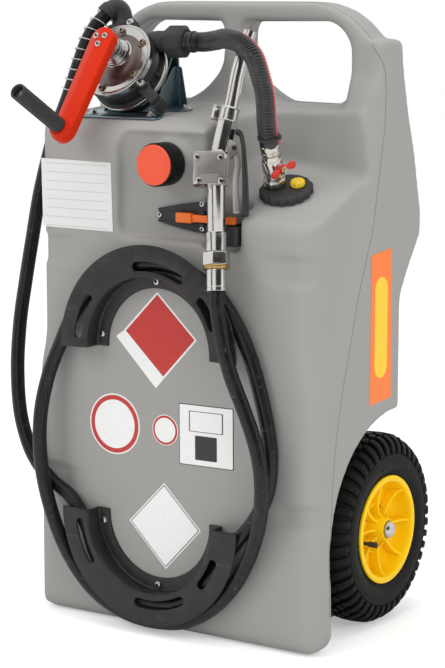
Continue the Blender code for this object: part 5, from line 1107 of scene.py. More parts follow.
class CADDY_OT_crank(bpy.types.Operator):
    """Build the red crank arm with its hub, screws and fluted grip"""
    bl_idname = "caddy.crank"
    bl_label = "Crank"

    def execute(self, context):
        hub = lathe("crank_collar", pairs(0, 337, 165, 337, 175, 328, 175, 272, 166, 266, 166, 250,
            175, 244, 175, 194, 167, 186, 84, 186, 84, 307, 0, 307), CRANK, 64)
        place_piece(hub, "crank", "bright_steel", "crank_hub")
        bar = crank_blank()
        collar = lathe("grip_collar", pairs(66, 580, 158, 580, 170, 574, 176, 560, 180, 530, 190,
            508, 204, 496, 66, 490), shift(GRIP_END, 0, 0), 64, True)
        merge(bar, collar)
        move(bar, CRANK)
        place_piece(bar, "crank", "crank_red", "crank_arm", angle=25)
        screws_at("crank_screws", [CRANK @ shift(0, -0.003, 0) @ turn('Z', a) @ shift(0.0098, 0,
            0.05) for a in (8, 128, -112)], 0.0056, 0.003, 0.0024, "crank")
        grip = wavy("grip_sleeve", triples(68, 584, 0, 118, 584, 0, 130, 592, 0, 134, 608, 4, 134,
            640, 9, 134, 1650, 9, 134, 1690, 4, 131, 1718, 0, 124, 1730, 0, 112, 1733, 0, 102, 1731,
            0, 97, 1722, 0, 96, 1615, 0, 68, 1614, 0), 10, CRANK @ shift(GRIP_END, 0, 0), 100)
        place_piece(grip, "grip", "black_plastic", "crank_grip", angle=40)
        return {'FINISHED'}


class CADDY_OT_bracket(bpy.types.Operator):
    """Build the folded zinc sheet that carries the pump, with its nuts"""
    bl_idname = "caddy.bracket"
    bl_label = "Pump Bracket"

    def execute(self, context):
        corner = rounded(pairs(-2040, -175, -520, -175, -440, -100, -500, 50, -770, 480, -770, 600,
            -520, 605, -450, 680, -460, 860, -600, 930, -740, 950, -780, 1056, -2040, 1056), 0.006,
            5)
        base = prism("bracket_sheet", corner, 0.0003, 0.0033, PLATFORM, 0.0008, 2)
        back = prism("back", rounded(pairs(-1930, 8360, -830, 8360, -895, 9465, -1865, 9465), 0.006,
            4), 0.045, 0.048, FORWARDS, 0.0007, 2)
        rest = prism("rest", rounded(pairs(-410, -575, 590, -575, 590, 795, -410, 795), 0.008, 4),
            -0.0646, -0.0616, PUMP, 0.0007, 2)
        sides = []
        for x in (-0.0925, -0.1865):
            web = prism("web", rounded(pairs(-1220, 8300, -470, 8380, -470, 9020, -580, 9020),
                0.006, 4), x, x + 0.0026, SIDEWAYS, 0.0006, 2)
            sides.append(web)
        flange = prism("flange", rounded(pairs(-925, 8300, -700, 8300, -830, 9020, -925, 9020),
            0.004, 4), 0.044, 0.0456, FORWARDS, 0.0005, 1)
        merge(base, back, rest, flange, *sides)
        # The bracket's finish carries painted shade and painted dark reflection in its colour.
        place_piece(base, "caddy", "zinc_plate", "pump_bracket")
        spots = [PLATFORM @ shift(x, y, 0.0033) for x, y in ((-0.186, 0.002), (-0.072, 0.0045),
            (-0.0565, 0.077), (-0.192, 0.0787))]
        nuts = repeat("bracket_nuts", hex_nut("nut", 0.0066, 0.0046, 0.0034), spots, "bright_steel")
        studs = repeat("bracket_studs", lathe("stud", pairs(0, 68, 28, 68, 34, 60, 34, 0, 0, 0),
            None, 20), spots, "bright_steel")
        washers = repeat("bracket_washers", lathe("washer", pairs(34, 12, 86, 12, 90, 9, 90, 0, 34,
            0), None, 32, True), spots, "bright_steel")
        merge(nuts, studs, washers)
        place_piece(nuts, "caddy", "bright_steel")
        return {'FINISHED'}


# Suction line

def suction_path(count):
    out = [(-0.0397 + run, UNION_Y, UNION_Z) for run in (0.0, SUCTION_RADIUS, 2 * SUCTION_RADIUS)]
    back = [tuple(VALVE @ Vector((0, 0, 0.0857 + run))) for run in (2 * SUCTION_RADIUS,
        SUCTION_RADIUS, 0.0)]
    return smooth_route(out + SUCTION_ROUTE + back, count)


def ring_tie(name, points, at, step, angle):
    """Moulded cable tie round a hose: a band, its lock and the cut tail."""
    k = int(at / step)
    along = (points[k + 1] - points[k]).normalized()
    place = Matrix.Translation(points[k]) @ Vector((0, 0,
        1)).rotation_difference(along).to_matrix().to_4x4()
    band = lathe(name, pairs(157, 23, 157, -23, 168, -25, 173, -19, 173, 19, 168, 25), place, 48,
        True)
    lock = box("lock", (0.016, -0.0036, -0.0032), (0.0205, 0.0036, 0.0032), place @ turn('Z',
        angle), 0.0007, 2)
    tail = box("tail", (0.0176, 0.003, -0.002), (0.0188, 0.012, 0.002), place @ turn('Z', angle),
        0.0004, 1)
    return merge(band, lock, tail)


class CADDY_OT_suction(bpy.types.Operator):
    """Build the union, the ribbed suction hose and its ties"""
    bl_idname = "caddy.suction"
    bl_label = "Suction Line"

    def execute(self, context):
        place = shift(0, UNION_Y, UNION_Z) @ SIDEWAYS @ turn('Z', 22.5)
        nut = lathe("union_octagon", pairs(173, -800, 192, -800, 268, -682, 278, -655, 278, -492,
            266, -466, 212, -414, 173, -408), place, 8, True)
        nut = soften(nut, 0.0008, 2, 20)
        tail = lathe("tail", pairs(173, -420, 196, -420, 196, -402, 173, -402), place, 48, True)
        throat = lathe("throat", pairs(130, -1010, 156, -1010, 160, -1002, 160, -905, 170, -898,
            172, -786, 130, -786), place, 48, True)
        merge(nut, tail, throat)
        place_piece(nut, "caddy", "black_plastic", "union_nut", angle=20)
        ribs, per_rib, sides = 82, 10, 36
        points, length = suction_path(ribs * per_rib + 1)

        def radius(i, k):
            fade = min(1.0, i / 10, (ribs * per_rib - i) / 40)
            share = i / (ribs * per_rib)
            depth = 0.0021 if share < 0.5 else 0.0021 - 0.0011 * min(1.0, (share - 0.5) / 0.15)
            wave = 0.5 + 0.5 * cos(2 * pi * (i / per_rib + k / sides))
            return 0.0157 - depth * fade * wave ** 2
        global SUCTION_STRIPE
        k = int(len(points) * 0.7)
        _, u, v = frames_along(points)[k]
        aim = (Vector((0.829, 0.559, 0)) * 0.93 + Vector((0.55, -0.83, 0)) * 0.37).normalized()
        SUCTION_STRIPE = atan2(aim.dot(v), aim.dot(u)) / (2 * pi) % 1.0
        hose = tube("suction_skin", points, 0.0155, sides, None, radius)
        place_piece(hose, "caddy", "striped_hose", "suction_hose", angle=60)
        step = length / (len(points) - 1)
        for name, at, angle in (("hose_tie_upper", 0.012, 60), ("hose_tie_lower", length - 0.012,
                20)):
            tie = ring_tie(name + "_band", points, at, step, angle)
            place_piece(tie, "caddy", "black_plastic", name)
        return {'FINISHED'}


class CADDY_OT_valve(bpy.types.Operator):
    """Build the ball valve, its butterfly handle, the scalloped cap and the vent plug"""
    bl_idname = "caddy.valve"
    bl_label = "Valve and Cap"

    def execute(self, context):
        body = lathe("valve_barrel", pairs(0, 260, 150, 260, 152, 296, 138, 306, 138, 345, 150, 356,
            160, 376, 163, 410, 163, 560, 158, 590, 140, 606, 134, 634, 134, 670, 148, 684, 152,
            700, 152, 724, 144, 732, 144, 746, 156, 756, 158, 772, 158, 836, 150, 850, 112, 852,
            108, 1050, 0, 1050), VALVE, 48)
        collar = lathe("collar", pairs(0, 135, 172, 135, 185, 146, 185, 252, 172, 266, 0, 266),
            VALVE @ turn('Z', 10), 8)
        collar = soften(collar, 0.0006, 2, 20)
        seat = lathe("seat", pairs(0, 100, 92, 100, 92, 152, 84, 162, 66, 166, 64, 178, 0, 178),
            VALVE_STEM, 32)
        merge(body, collar, seat)
        place_piece(body, "caddy", "nickel", "valve_body", angle=28)
        half = arc((0.019, 0), 0.0064, -pi / 2 - 0.2, pi / 2 + 0.2, 12)
        outline = [(0.0052, -0.0055), (0.0105, -0.0036)] + half + [(0.0105, 0.0036), (0.0052,
            0.0055)]
        outline = rounded(outline + [(-x, -y) for x, y in outline], 0.0012, 2)
        handle = prism("handle_wings", outline, 0.018, 0.0232)
        handle = soften(handle, 0.0014, 3, 35)
        for vert in handle.data.vertices:
            vert.co.z += max(0.0, abs(vert.co.x) - 0.008) * 0.22
        knob = lathe("knob", pairs(43, 182, 66, 182, 72, 190, 72, 222, 62, 228, 43, 228), None, 32,
            True)
        merge(handle, knob)
        move(handle, VALVE_STEM)
        place_piece(handle, "valve_lever", "gloss_red", "valve_handle", angle=40)
        nut = soften(hex_nut("handle_nut", 0.0064, 0.0046, 0.0042), 0.0003, 2, 20)
        move(nut, VALVE_STEM @ shift(0, 0, 0.023))
        place_piece(nut, "valve_lever", "turned_brass", "valve_nut")
        cap = wavy("cap_scalloped", triples(0, 124, 0, 318, 124, 0, 330, 130, 0, 368, 131, 2, 392,
            126, 8, 412, 112, 20, 425, 92, 28, 430, 70, 32, 430, 26, 32, 424, 21, 30, 0, 21, 0), 16,
            SHOULDER, 160)
        place_piece(cap, "caddy", "black_plastic", "suction_cap", angle=40)
        vent = wavy("vent_knob", triples(0, 214, 0, 42, 214, 0, 50, 222, 0, 88, 222, 6, 108, 214,
            14, 117, 196, 18, 119, 170, 18, 119, 146, 16, 114, 136, 10, 44, 135, 0, 44, 65, 0, 0,
            65, 0), 10, SHOULDER @ shift(0.016, 0.01, 0), 120)
        place_piece(vent, "vent", "vent_yellow", "vent_plug", angle=40)
        return {'FINISHED'}


# Filler cap

class CADDY_OT_filler(bpy.types.Operator):
    """Build the filler's gasket and its screw cap with the red face"""
    bl_idname = "caddy.filler"
    bl_label = "Filler Cap"

    def execute(self, context):
        gasket = lathe("filler_seal", pairs(205, 404, 254, 404, 257, 409, 257, 422, 254, 427, 205,
            427), FILLER, 64, True)
        place_piece(gasket, "filler_lift", "seal_black", "filler_gasket")
        skirt = lathe("cap_skirt_shell", pairs(0, 476, 322, 476, 334, 471, 340, 460, 340, 134, 336,
            122, 326, 116, 292, 116, 290, 122, 290, 440, 0, 440), FILLER, 96)
        ridge = box("ridge", (-0.0004, -0.0011, 0.014), (0.0003, 0.0011, 0.0455), None, 0.0003, 1)
        ridges = repeat("skirt_ridges", ridge, [FILLER @ turn('Z', 15 * i) @ shift(0.034, 0, 0)
            for i in range(24)], "cap_black")
        merge(skirt, ridges)
        place_piece(skirt, "filler_cap", "cap_black", "filler_cap_skirt")
        disc = lathe("cap_face", pairs(0, 503, 262, 503, 266, 500, 270, 500, 275, 505, 282, 508,
            304, 509, 313, 505, 318, 496, 318, 480, 0, 480), FILLER, 96)
        place_piece(disc, "filler_cap", "cap_red", "filler_cap_disc")
        return {'FINISHED'}


# Pump outlet

class CADDY_OT_elbow(bpy.types.Operator):
    """Build the elbow that turns the pump's outlet down into the delivery hose"""
    bl_idname = "caddy.elbow"
    bl_label = "Outlet Elbow"

    def execute(self, context):
        foot = PUMP @ Vector((-0.035, 0.0723, -0.031))
        up = (PUMP.to_3x3() @ Vector((0, 1, 0))).normalized()
        mouth = Vector(HOSE_ROUTE[0])
        lead = (mouth - Vector(HOSE_ROUTE[1])).normalized()
        reach = 0.0165
        a, b, c, d = foot, foot + up * 2 * reach, mouth + lead * 2 * reach, mouth
        spots, radii = [], []
        for i in range(41):
            t = i / 40
            spots.append(a * (1 - t) ** 3 + b * 3 * t * (1 - t) ** 2 + c * 3 * t * t * (1 - t) + d
                * t ** 3)
            collar = 0.0014 if t < 0.14 or t > 0.86 else 0.0
            radii.append(0.0158 + collar)
        elbow = tube("elbow_casting", spots, reach, 40, None, radii)
        place_piece(elbow, "caddy", "black_cast", "outlet_elbow", angle=40)
        return {'FINISHED'}


# Nozzle

def leaning(low):
    return NOZZLE @ shift(0, 0, 0.1898) @ Matrix.Rotation(NOZZLE_LEAN, 4, 'Y') @ shift(0, 0, low)


def strap(name, spine, half, width, matrix, edge=0.0014):
    """Bar of even thickness along a line in local XZ, extruded across local Y."""
    spots, _ = smooth_route([(x, 0, z) for x, z in spine], 30)
    sides = []
    for i, spot in enumerate(spots):
        along = (spots[min(i + 1, 29)] - spots[max(i - 1, 0)]).normalized()
        thick = half[0] + (half[1] - half[0]) * i / 29 if hasattr(half, "__len__") else half
        sides.append((spot, Vector((along.z, 0, -along.x)) * thick))
    outline = [((p + n).x, (p + n).z) for p, n in sides] + [((p - n).x, (p - n).z) for p,
        n in reversed(sides)]
    return prism(name, outline, -width, width, matrix @ FORWARDS, edge, 3)


class CADDY_OT_nozzle(bpy.types.Operator):
    """Build the delivery nozzle: swivel, cast body, lever, guard and spout"""
    bl_idname = "caddy.nozzle"
    bl_label = "Nozzle"

    def execute(self, context):
        ferrule = lathe("ferrule_sleeve", pairs(123, 0, 152, 0, 157, 5, 157, 50, 153, 56, 153, 68,
            157, 74, 158, 330, 152, 339, 100, 339, 100, 0), NOZZLE, 64, True)
        place_piece(ferrule, "hose_end", "mirror_aluminium", "hose_ferrule", angle=30)
        ring = lathe("swivel_collar", pairs(125, 344, 192, 344, 204, 347, 208, 354, 204, 361, 190,
            365, 186, 370, 190, 375, 204, 379, 208, 386, 204, 393, 192, 396, 125, 396), NOZZLE, 72,
            True)
        place_piece(ring, "hose_end", "turned_brass", "swivel_ring", angle=30)
        nut = lathe("swivel_hexagon", pairs(100, 401, 192, 401, 206, 406, 213, 414, 213, 597, 206,
            605, 192, 609, 100, 609), NOZZLE @ turn('Z', 15), 6, True)
        place_piece(soften(nut, 0.0006, 2, 20), "caddy", "mirror_aluminium", "swivel_nut", angle=20)
        body = lathe("nozzle_casting", pairs(0, 614, 154, 614, 163, 620, 163, 876, 167, 883, 168,
            903, 162, 912, 148, 914, 144, 922, 144, 1700, 0, 1700), NOZZLE, 64)
        block = box("block", (-0.036, -0.0165, 0.1643), (0.012, 0.0165, 0.2153), NOZZLE, 0.003, 4)
        neck_line = [(0, 0, -0.01), (0, 0, 0.0)] + [(0, 0, 0.01 * i) for i in range(1, 11)]
        neck = tube("neck", neck_line, 0.015, 98, leaning(0), lambda i, k: 0.0137 + 0.0013
            * abs(cos(3.5 * 2 * pi * k / 98)) ** 4)
        brow = lathe("brow", pairs(0, 180, 156, 180, 162, 190, 160, 260, 140, 300, 0, 300),
            leaning(0), 48)
        clip = lathe("clip", pairs(140, 772, 154, 772, 157, 778, 154, 788, 149, 792, 149, 968, 160,
            976, 164, 986, 160, 997, 140, 998), leaning(0), 48, True)
        fin = box("fin", (-0.0262, -0.0016, 0.0772), (-0.014, 0.0016, 0.099), leaning(0), 0.0006, 2)
        lips = [box("lip", (-0.0262, -0.006, z), (-0.012, 0.006, z + 0.0016), leaning(0), 0.0005, 2)
            for z in (0.0974, 0.0772)]
        ears = []
        for y in (-0.0106, 0.0066):
            ear = prism("ear", rounded(pairs(40, -2060, 40, -2360, 210, -2360, 315, -2290, 318,
                -2150, 200, -2060), 0.004, 4), y, y + 0.004, NOZZLE @ FORWARDS @ Matrix.Scale(-1, 4,
                (0, 1, 0)), 0.0008, 2)
            ears.append(ear)
        cheek = prism("cheek", rounded(pairs(60, 2140, 150, 2150, 205, 2080, 178, 1850, 150, 1640,
            60, 1640), 0.003, 4), -0.012, 0.012, NOZZLE @ FORWARDS, 0.0015, 3)
        merge(cheek, *ears)
        place_piece(cheek, "caddy", "cast_aluminium", angle=34)
        merge(body, block, neck, brow, clip, fin, *lips)
        place_piece(body, "caddy", "mirror_aluminium", "nozzle_body", angle=34)
        plate = prism("valve_plate", rounded(pairs(-362, 2153, 122, 2153, 122, 1643, -345, 1643),
            0.007, 6), 0.0168, 0.0208, NOZZLE @ FORWARDS, 0.001, 3)
        step = prism("step", rounded(pairs(-270, 1790, 40, 1790, 40, 1672, -255, 1672), 0.003, 4),
            0.0204, 0.0211, NOZZLE @ FORWARDS, 0.0003, 1)
        merge(plate, step)
        place_piece(plate, "caddy", "cast_aluminium", "nozzle_cover", angle=30)
        spots = [NOZZLE @ FORWARDS @ shift(x, z, 0.0208) for x, z in ((-0.0305, 0.2055), (0.0052,
            0.2048), (-0.0278, 0.169), (0.0062, 0.1684))]
        screws_at("plate_screws", spots, 0.0052, 0.003, 0.0023, "caddy")
        pin = lathe("lever_pivot", pairs(0, 118, 30, 118, 38, 112, 38, 107, 30, 106, 30, -106, 38,
            -107, 38, -112, 30, -118, 0, -118), NOZZLE @ shift(0.027, 0, 0.222) @ turn('X', 90), 32)
        place_piece(pin, "caddy", "black_powder", "lever_pin")
        lever = strap("lever_casting", pairs(272, 2250, 284, 2150, 312, 2060, 322, 1960, 306, 1860,
            290, 1740, 286, 1580, 294, 1390, 306, 1210), (0.0046, 0.0052), 0.006, NOZZLE, 0.0014)
        place_piece(lever, "trigger", "cast_aluminium", "trigger_lever", angle=40)
        guard = strap("guard_strap", pairs(290, 2500, 360, 2480, 400, 2350, 418, 2180, 435, 1850,
            442, 1550, 438, 1180), (0.0026, 0.0058), 0.01, NOZZLE, 0.0012)
        groove = strap("groove", pairs(418, 2180, 435, 1850, 442, 1550, 438, 1150), (0.0006,
            0.0034), 0.002, NOZZLE @ shift(0, -0.01, 0), 0.0)
        guard = carve(guard, groove)
        place_piece(guard, "caddy", "black_plastic", "trigger_guard", angle=40)
        start = Vector((0.0211, 0, 0.2876))
        lead = Vector((sin(NOZZLE_LEAN), 0, cos(NOZZLE_LEAN)))
        bend = [start + Vector((0.031 * a, 0, 0.121 * b)) for a, b in ((0.26, 0.34), (0.52, 0.62),
            (1.0, 1.0))]
        line, _ = smooth_route([start, start + lead * 0.022] + bend, 40)
        spout = tube("spout_tube", line, 0.0105, 40, None, lambda i, k: 0.0114 - 0.0012 * i / 39)
        line[-1] = line[-1] + (line[-1] - line[-2]) * 0.5
        spout = carve(spout, tube("hollow", line[24:], 0.0086, 32))
        move(spout, NOZZLE)
        place_piece(spout, "caddy", "mirror_aluminium", "nozzle_spout", angle=40)
        return {'FINISHED'}


# Nozzle holder and its lock

class CADDY_OT_holder(bpy.types.Operator):
    """Build the holder plate with its cup and screws, and the orange lock bar"""
    bl_idname = "caddy.holder"
    bl_label = "Nozzle Holder"

    def execute(self, context):
        place = shift(0, 0, 0.675) @ FORWARDS
        upper = pairs(-310, 100, -100, 146, 150, 192, 400, 232, 650, 249, 965, 250)
        outline = [(-0.024, 0.0)] + upper + [(x, -z) for x, z in reversed(upper)]
        plate = prism("holder_plate", rounded(outline, 0.0015, 2), 0.1823, 0.187, place, 0.0008, 2)
        track = box("track", (0.006, -0.186, 0.664), (0.096, -0.182, 0.684), None, 0.0)
        plate = carve(plate, track)
        wings = []
        for side in (1, -1):
            wing = prism("wing", rounded([(-0.03, 0.0098 * side), (-0.01, 0.014 * side), (0.015,
                0.0186 * side), (0.04, 0.0226 * side), (0.065, 0.0243 * side), (0.096,
                0.0244 * side), (0.096, 0.0085 * side), (-0.01, 0.0085 * side)], 0.0012, 2), 0.186,
                0.1883, place, 0.0007, 2)
            wings.append(wing)
        floor = box("track_floor", (-0.02, -0.1846, 0.664), (0.096, -0.1823, 0.684))
        guides = []
        for x in (0.056, 0.0705):
            for low, high in ((0.6815, 0.6842), (0.6638, 0.6665)):
                guides.append(box("guide", (x, -0.1972, low), (x + 0.009, -0.186, high), None,
                    0.0006, 2))
        cup = prism("cup", rounded(pairs(990, 1503, 990, 2015, 1280, 2015, 1280, 1503), 0.006, 5),
            -0.666, -0.6345, Matrix(((1, 0, 0, 0), (0, -1, 0, 0), (0, 0, -1, 0), (0, 0, 0, 1))),
            0.003, 3)
        pocket = box("pocket", (0.1025, -0.198, 0.6335), (0.1245, -0.1538, 0.69), None, 0.002, 2)
        cup = carve(cup, pocket)
        merge(plate, floor, cup, *wings, *guides)
        place_piece(plate, "caddy", "black_plastic", "nozzle_holder", angle=34)
        spots = [shift(x, -0.1883, z) @ FORWARDS for x, z in ((0.0562, 0.6965), (0.0562, 0.6575))]
        spots.append(shift(-0.0258, -0.187, 0.6755) @ FORWARDS)
        screws_at("holder_screws", spots, 0.0048, 0.0028, 0.0022, "caddy")
        bar = box("lock_slider", (0.04, -0.1966, 0.6683), (0.1215, -0.1888, 0.6797), None, 0.0009,
            3)
        knob = box("knob", (0.0122, -0.1995, 0.6662), (0.0421, -0.1888, 0.6818), None, 0.0016, 3)
        rib = box("rib", (0.045, -0.1974, 0.6725), (0.1, -0.196, 0.6755), None, 0.0005, 2)
        merge(bar, knob, rib)
        place_piece(bar, "lock", "lock_orange", "lock_bar", angle=34)
        return {'FINISHED'}


# Blank plates on the tank

def sheet(name, corners, rise=0.0005, radius=0.0015):
    """Thin blank plate on the tank's front, from corners in world X and Z."""
    return prism(name, rounded(corners, radius, 3), -FRONT_Y - 0.0004, -FRONT_Y + rise, FORWARDS)


def inset(corners, share):
    cx, cz = (sum(c[i] for c in corners) / len(corners) for i in (0, 1))
    return [(cx + (x - cx) * share, cz + (z - cz) * share) for x, z in corners]


def disc_outline(x, z, radius):
    return arc((x, z), radius, 0, 2 * pi * 47 / 48, 47)


class CADDY_OT_plates(bpy.types.Operator):
    """Lay the blank plates on the tank's front and right side"""
    bl_idname = "caddy.plates"
    bl_label = "Blank Plates"

    def execute(self, context):
        white, dark, red = "plate_white", "plate_dark", "plate_red"
        table = sheet("type_plate", pairs(-2530, 7560, -1125, 7540, -1090, 6440, -2505, 6450))
        place_piece(table, "caddy", "ruled_plate")
        square = pairs(-225, 5540, 536, 4830, -110, 4150, -887, 4870)
        strip = pairs(-887, 4870, -110, 4150, -260, 3990, -1040, 4765)
        block = pairs(190, 3800, 1225, 3812, 1230, 2830, 195, 2818)
        window = pairs(385, 3700, 1030, 3707, 1033, 3375, 387, 3368)
        lozenge = pairs(-105, 2465, 605, 1770, -80, 1050, -800, 1760)
        pile = (("diamond_edge", square, 1.0, white, 0.0005), ("diamond", square, 0.94, red,
            0.0007), ("strip", strip, 1.0, white, 0.0005), ("block_edge", block, 1.0, dark, 0.0005),
            ("block", block, 0.975, white, 0.0007), ("window_edge", window, 1.0, dark, 0.0009),
            ("window", window, 0.94, white, 0.0011), ("lozenge", lozenge, 1.0, white, 0.0005),
            ("lozenge_line", lozenge, 0.955, dark, 0.0007), ("lozenge_field", lozenge, 0.93, white,
            0.0009))
        for name, corners, share, material, rise in pile:
            piece = sheet("plate_" + name, inset(corners, share), rise)
            place_piece(piece, "caddy", material)
        dark_field = sheet("plate_dark_field", pairs(500, 3310, 915, 3315, 917, 2925, 502, 2920),
            0.0009)
        place_piece(dark_field, "caddy", dark)
        for name, x, z, radius in (("large", -0.108, 0.332, 0.05), ("small", -0.008, 0.333, 0.025)):
            for k, (share, material) in enumerate(((1.0, white), (0.95, red), (0.8, white))):
                piece = sheet("plate_round_%s_%d" % (name, k), disc_outline(x, z, radius * share),
                    0.0005 + 0.0002 * k, 0.0001)
                place_piece(piece, "caddy", material)
        side = pairs(-447, 6159, 181, 6223, 208, 3822, -459, 3782)
        panel = prism("plate_side", rounded(side, 0.0015, 3), 0.2765, 0.2777, SIDEWAYS)
        place_piece(panel, "caddy", "plate_orange")
        middle, half = -0.013, 0.0195
        pill = arc((middle, 0.56), half, 0, pi, 16) + arc((middle - 0.0005, 0.438), half, pi,
            2 * pi, 16)
        pill = prism("plate_side_field", pill, 0.277, 0.2779, SIDEWAYS)
        place_piece(pill, "caddy", "plate_yellow")
        return {'FINISHED'}


# Hidden and small pieces that keep their solids

def dress_solids():
    """Give the solids that stay as they are a finish of their own."""
    finishes = {"pump_shaft": "bright_steel", "grip_pin": "bright_steel",
        "inlet_stub": "black_plastic", "suction_seal": "seal_black", "valve_stem": "bright_steel",
        "valve_ball": "bright_steel", "pump_rotor": "bright_steel",
        "pump_vane_left": "black_plastic", "pump_vane_right": "black_plastic",
        "dip_tube": "black_plastic", "foot_strainer": "black_plastic"}
    for name, look in finishes.items():
        item = bpy.data.objects.get(name)
        if item and item.material_slots:
            for slot in item.material_slots:
                slot.material = paint(look)


# Wheels

def wheel_frame(side):
    facing = Matrix.Identity(4) if side > 0 else turn('Z', 180)
    return shift(side * WHEEL_X, WHEEL_Y, WHEEL_Z) @ facing @ SIDEWAYS


def tyre_profile():
    half, outer, bead = 0.0405, 0.151, 0.0805
    crown = [(outer, 0.0), (outer - 0.001, 0.012), (outer - 0.0032, 0.02), (outer - 0.009, 0.028),
        (outer - 0.017, 0.0345), (outer - 0.0255, 0.038), (0.1245, 0.0392), (0.1238, 0.0402),
        (0.1222, 0.0408), (0.1206, 0.0402), (0.1198, 0.0405), (0.112, half), (0.101, 0.0398),
        (0.0935, 0.0368), (0.0905, 0.035), (0.0885, 0.0345), (bead, 0.033)]
    return [(r, -z) for r, z in reversed(crown[1:])] + crown


def tread_block(width, length, height):
    return box("block", (-height, -length / 2, -width / 2), (height * 0.9, length / 2, width / 2),
        None, 0.0009, 1)


def shoulder_lug(side):
    """Long lug from the tread's edge down the side of the tyre, in local XZ."""
    outline = pairs(1248, 380, 1256, 404, 1310, 402, 1385, 378, 1450, 335, 1502, 272, 1534, 190,
        1500, 170, 1400, 240, 1300, 330)
    lug = prism("lug", outline, -0.0054, 0.0054, FORWARDS, 0.0011, 2)
    return lug if side > 0 else move(lug, Matrix.Scale(-1, 4, (0, 0, 1)))


class CADDY_OT_wheels(bpy.types.Operator):
    """Build the tyres, rims, bushes, hub caps and axle"""
    bl_idname = "caddy.wheels"
    bl_label = "Wheels"

    def execute(self, context):
        for side, name in ((1, "right"), (-1, "left")):
            place = wheel_frame(side)
            body = "wheel_" + name
            tyre = lathe("tyre_skin_" + name, tyre_profile(), None, 96, True)
            blocks = []
            count = settings().tread_blocks
            courses = ((0.0, 0.0, 0.1532, 0.0, 0.0), (0.013, 0.5, 0.1526, 5.0, 18.0), (-0.013, 0.5,
                0.1526, -5.0, -18.0))
            for z, offset, radius, lean, twist in courses:
                for i in range(count):
                    angle = 2 * pi * (i + offset) / count
                    blocks.append(spun(angle) @ shift(radius, 0, z) @ turn('Y', -lean) @ turn('X',
                        twist))
            tread = repeat("tread", tread_block(0.01, 0.014, 0.0034), blocks, "tyre_black")
            lugs = [repeat("lugs", shoulder_lug(s), [spun(2 * pi * (i + 0.25 * s) / count)
                for i in range(count)], "tyre_black") for s in (1, -1)]
            places = random.Random(5)
            pips = [spun(2 * pi * (i + places.uniform(-0.3, 0.3)) / 15)
                @ shift(places.choice((0.0965, 0.1035, 0.113)), 0, s * 0.0402) for i in range(15)
                for s in (1, -1)]
            pips = repeat("pips", lathe("pip", pairs(0, 10, 9, 8, 12, 0, 0, -10), None, 10), pips,
                "tyre_black")
            rib = lathe("rib", pairs(925, 368, 935, 380, 945, 378, 945, 362), None, 72, True)
            merge(tyre, tread, pips, rib, *lugs)
            move(tyre, place)
            place_piece(tyre, body, "tyre_black", "tyre_" + name)
            make_rim(place, name, body)
        axle = lathe("axle_bar", pairs(0, 2612, 94, 2612, 100, 2604, 100, -2604, 94, -2612, 0,
            -2612), shift(0, WHEEL_Y, WHEEL_Z) @ SIDEWAYS, 32)
        place_piece(axle, "caddy", "bright_steel", "axle")
        return {'FINISHED'}


def make_rim(place, name, body):
    face = pairs(886, 352, 890, 372, 884, 388, 862, 396, 822, 396, 796, 386, 784, 366, 776, 300,
        764, 180, 742, 100, 700, 60, 440, 52, 422, 68, 414, 150, 400, 162, 386, 150, 378, 68, 360,
        52, 232, 56, 206, 84, 180, 375, 172, 389, 152, 390, 148, 386)
    rim = lathe("rim", face + [(r, -z) for r, z in reversed(face)] + [(0.08, -0.033), (0.08,
        0.033)], None, 96, True)
    outline = pairs(160, 0, 765, 0, 785, 335, 762, 325, 700, 262, 560, 226, 400, 206, 260, 214, 185,
        280, 160, 280)
    spoke = prism("spoke", outline, -0.0022, 0.0022, turn('X', 90), 0.0009, 2)
    turns = [spun(2 * pi * i / 8) for i in range(8)]
    ribs = repeat("ribs", spoke, turns, "rim_yellow")
    merge(rim, ribs)
    move(rim, place)
    place_piece(rim, body, "rim_yellow", "rim_" + name)
    bush = lathe("bush_sleeve_" + name, pairs(103, 386, 107, 390, 139, 390, 143, 386, 143, -386,
        139, -390, 107, -390, 103, -386), place, 40, True)
    place_piece(bush, body, "black_plastic", "bush_" + name)
    cap = lathe("hub_dome_" + name, pairs(0, 490, 40, 487, 80, 476, 112, 457, 131, 432, 139, 408,
        140, 396, 138, 393, 0, 393), place, 48)
    place_piece(cap, "caddy", "bright_steel", "hub_cap_" + name)
    stem = lathe("valve_stem_" + name, pairs(0, 420, 36, 420, 46, 412, 47, 270, 40, 260, 30, 255,
        30, 60, 0, 60), place @ shift(-0.04, -0.018, 0), 24)
    place_piece(stem, body, "black_plastic")


def pale_floor():
    """Pale floor that reads as white where it is lit and keeps the object's shadow."""
    material = bpy.data.materials.new("pale_floor")
    material.use_nodes = True
    tree = material.node_tree
    shader = tree.nodes["Principled BSDF"]
    shader.inputs["Base Color"].default_value = (0.9, 0.9, 0.9, 1)
    shader.inputs["Roughness"].default_value = 0.9
    shader.inputs["Specular IOR Level"].default_value = 0.1
    rays = node(tree, "ShaderNodeLightPath")
    shader.inputs["Emission Color"].default_value = (1, 1, 1, 1)
    tree.links.new(maths(tree, 'MULTIPLY', rays.outputs["Is Camera Ray"], 0.35),
        shader.inputs["Emission Strength"])
    return material


def dark_card():
    material = bpy.data.materials.get("dark_card") or bpy.data.materials.new("dark_card")
    material.use_nodes = True
    shader = material.node_tree.nodes["Principled BSDF"]
    shader.inputs["Base Color"].default_value = (0.02, 0.02, 0.02, 1)
    shader.inputs["Roughness"].default_value = 0.9
    return material


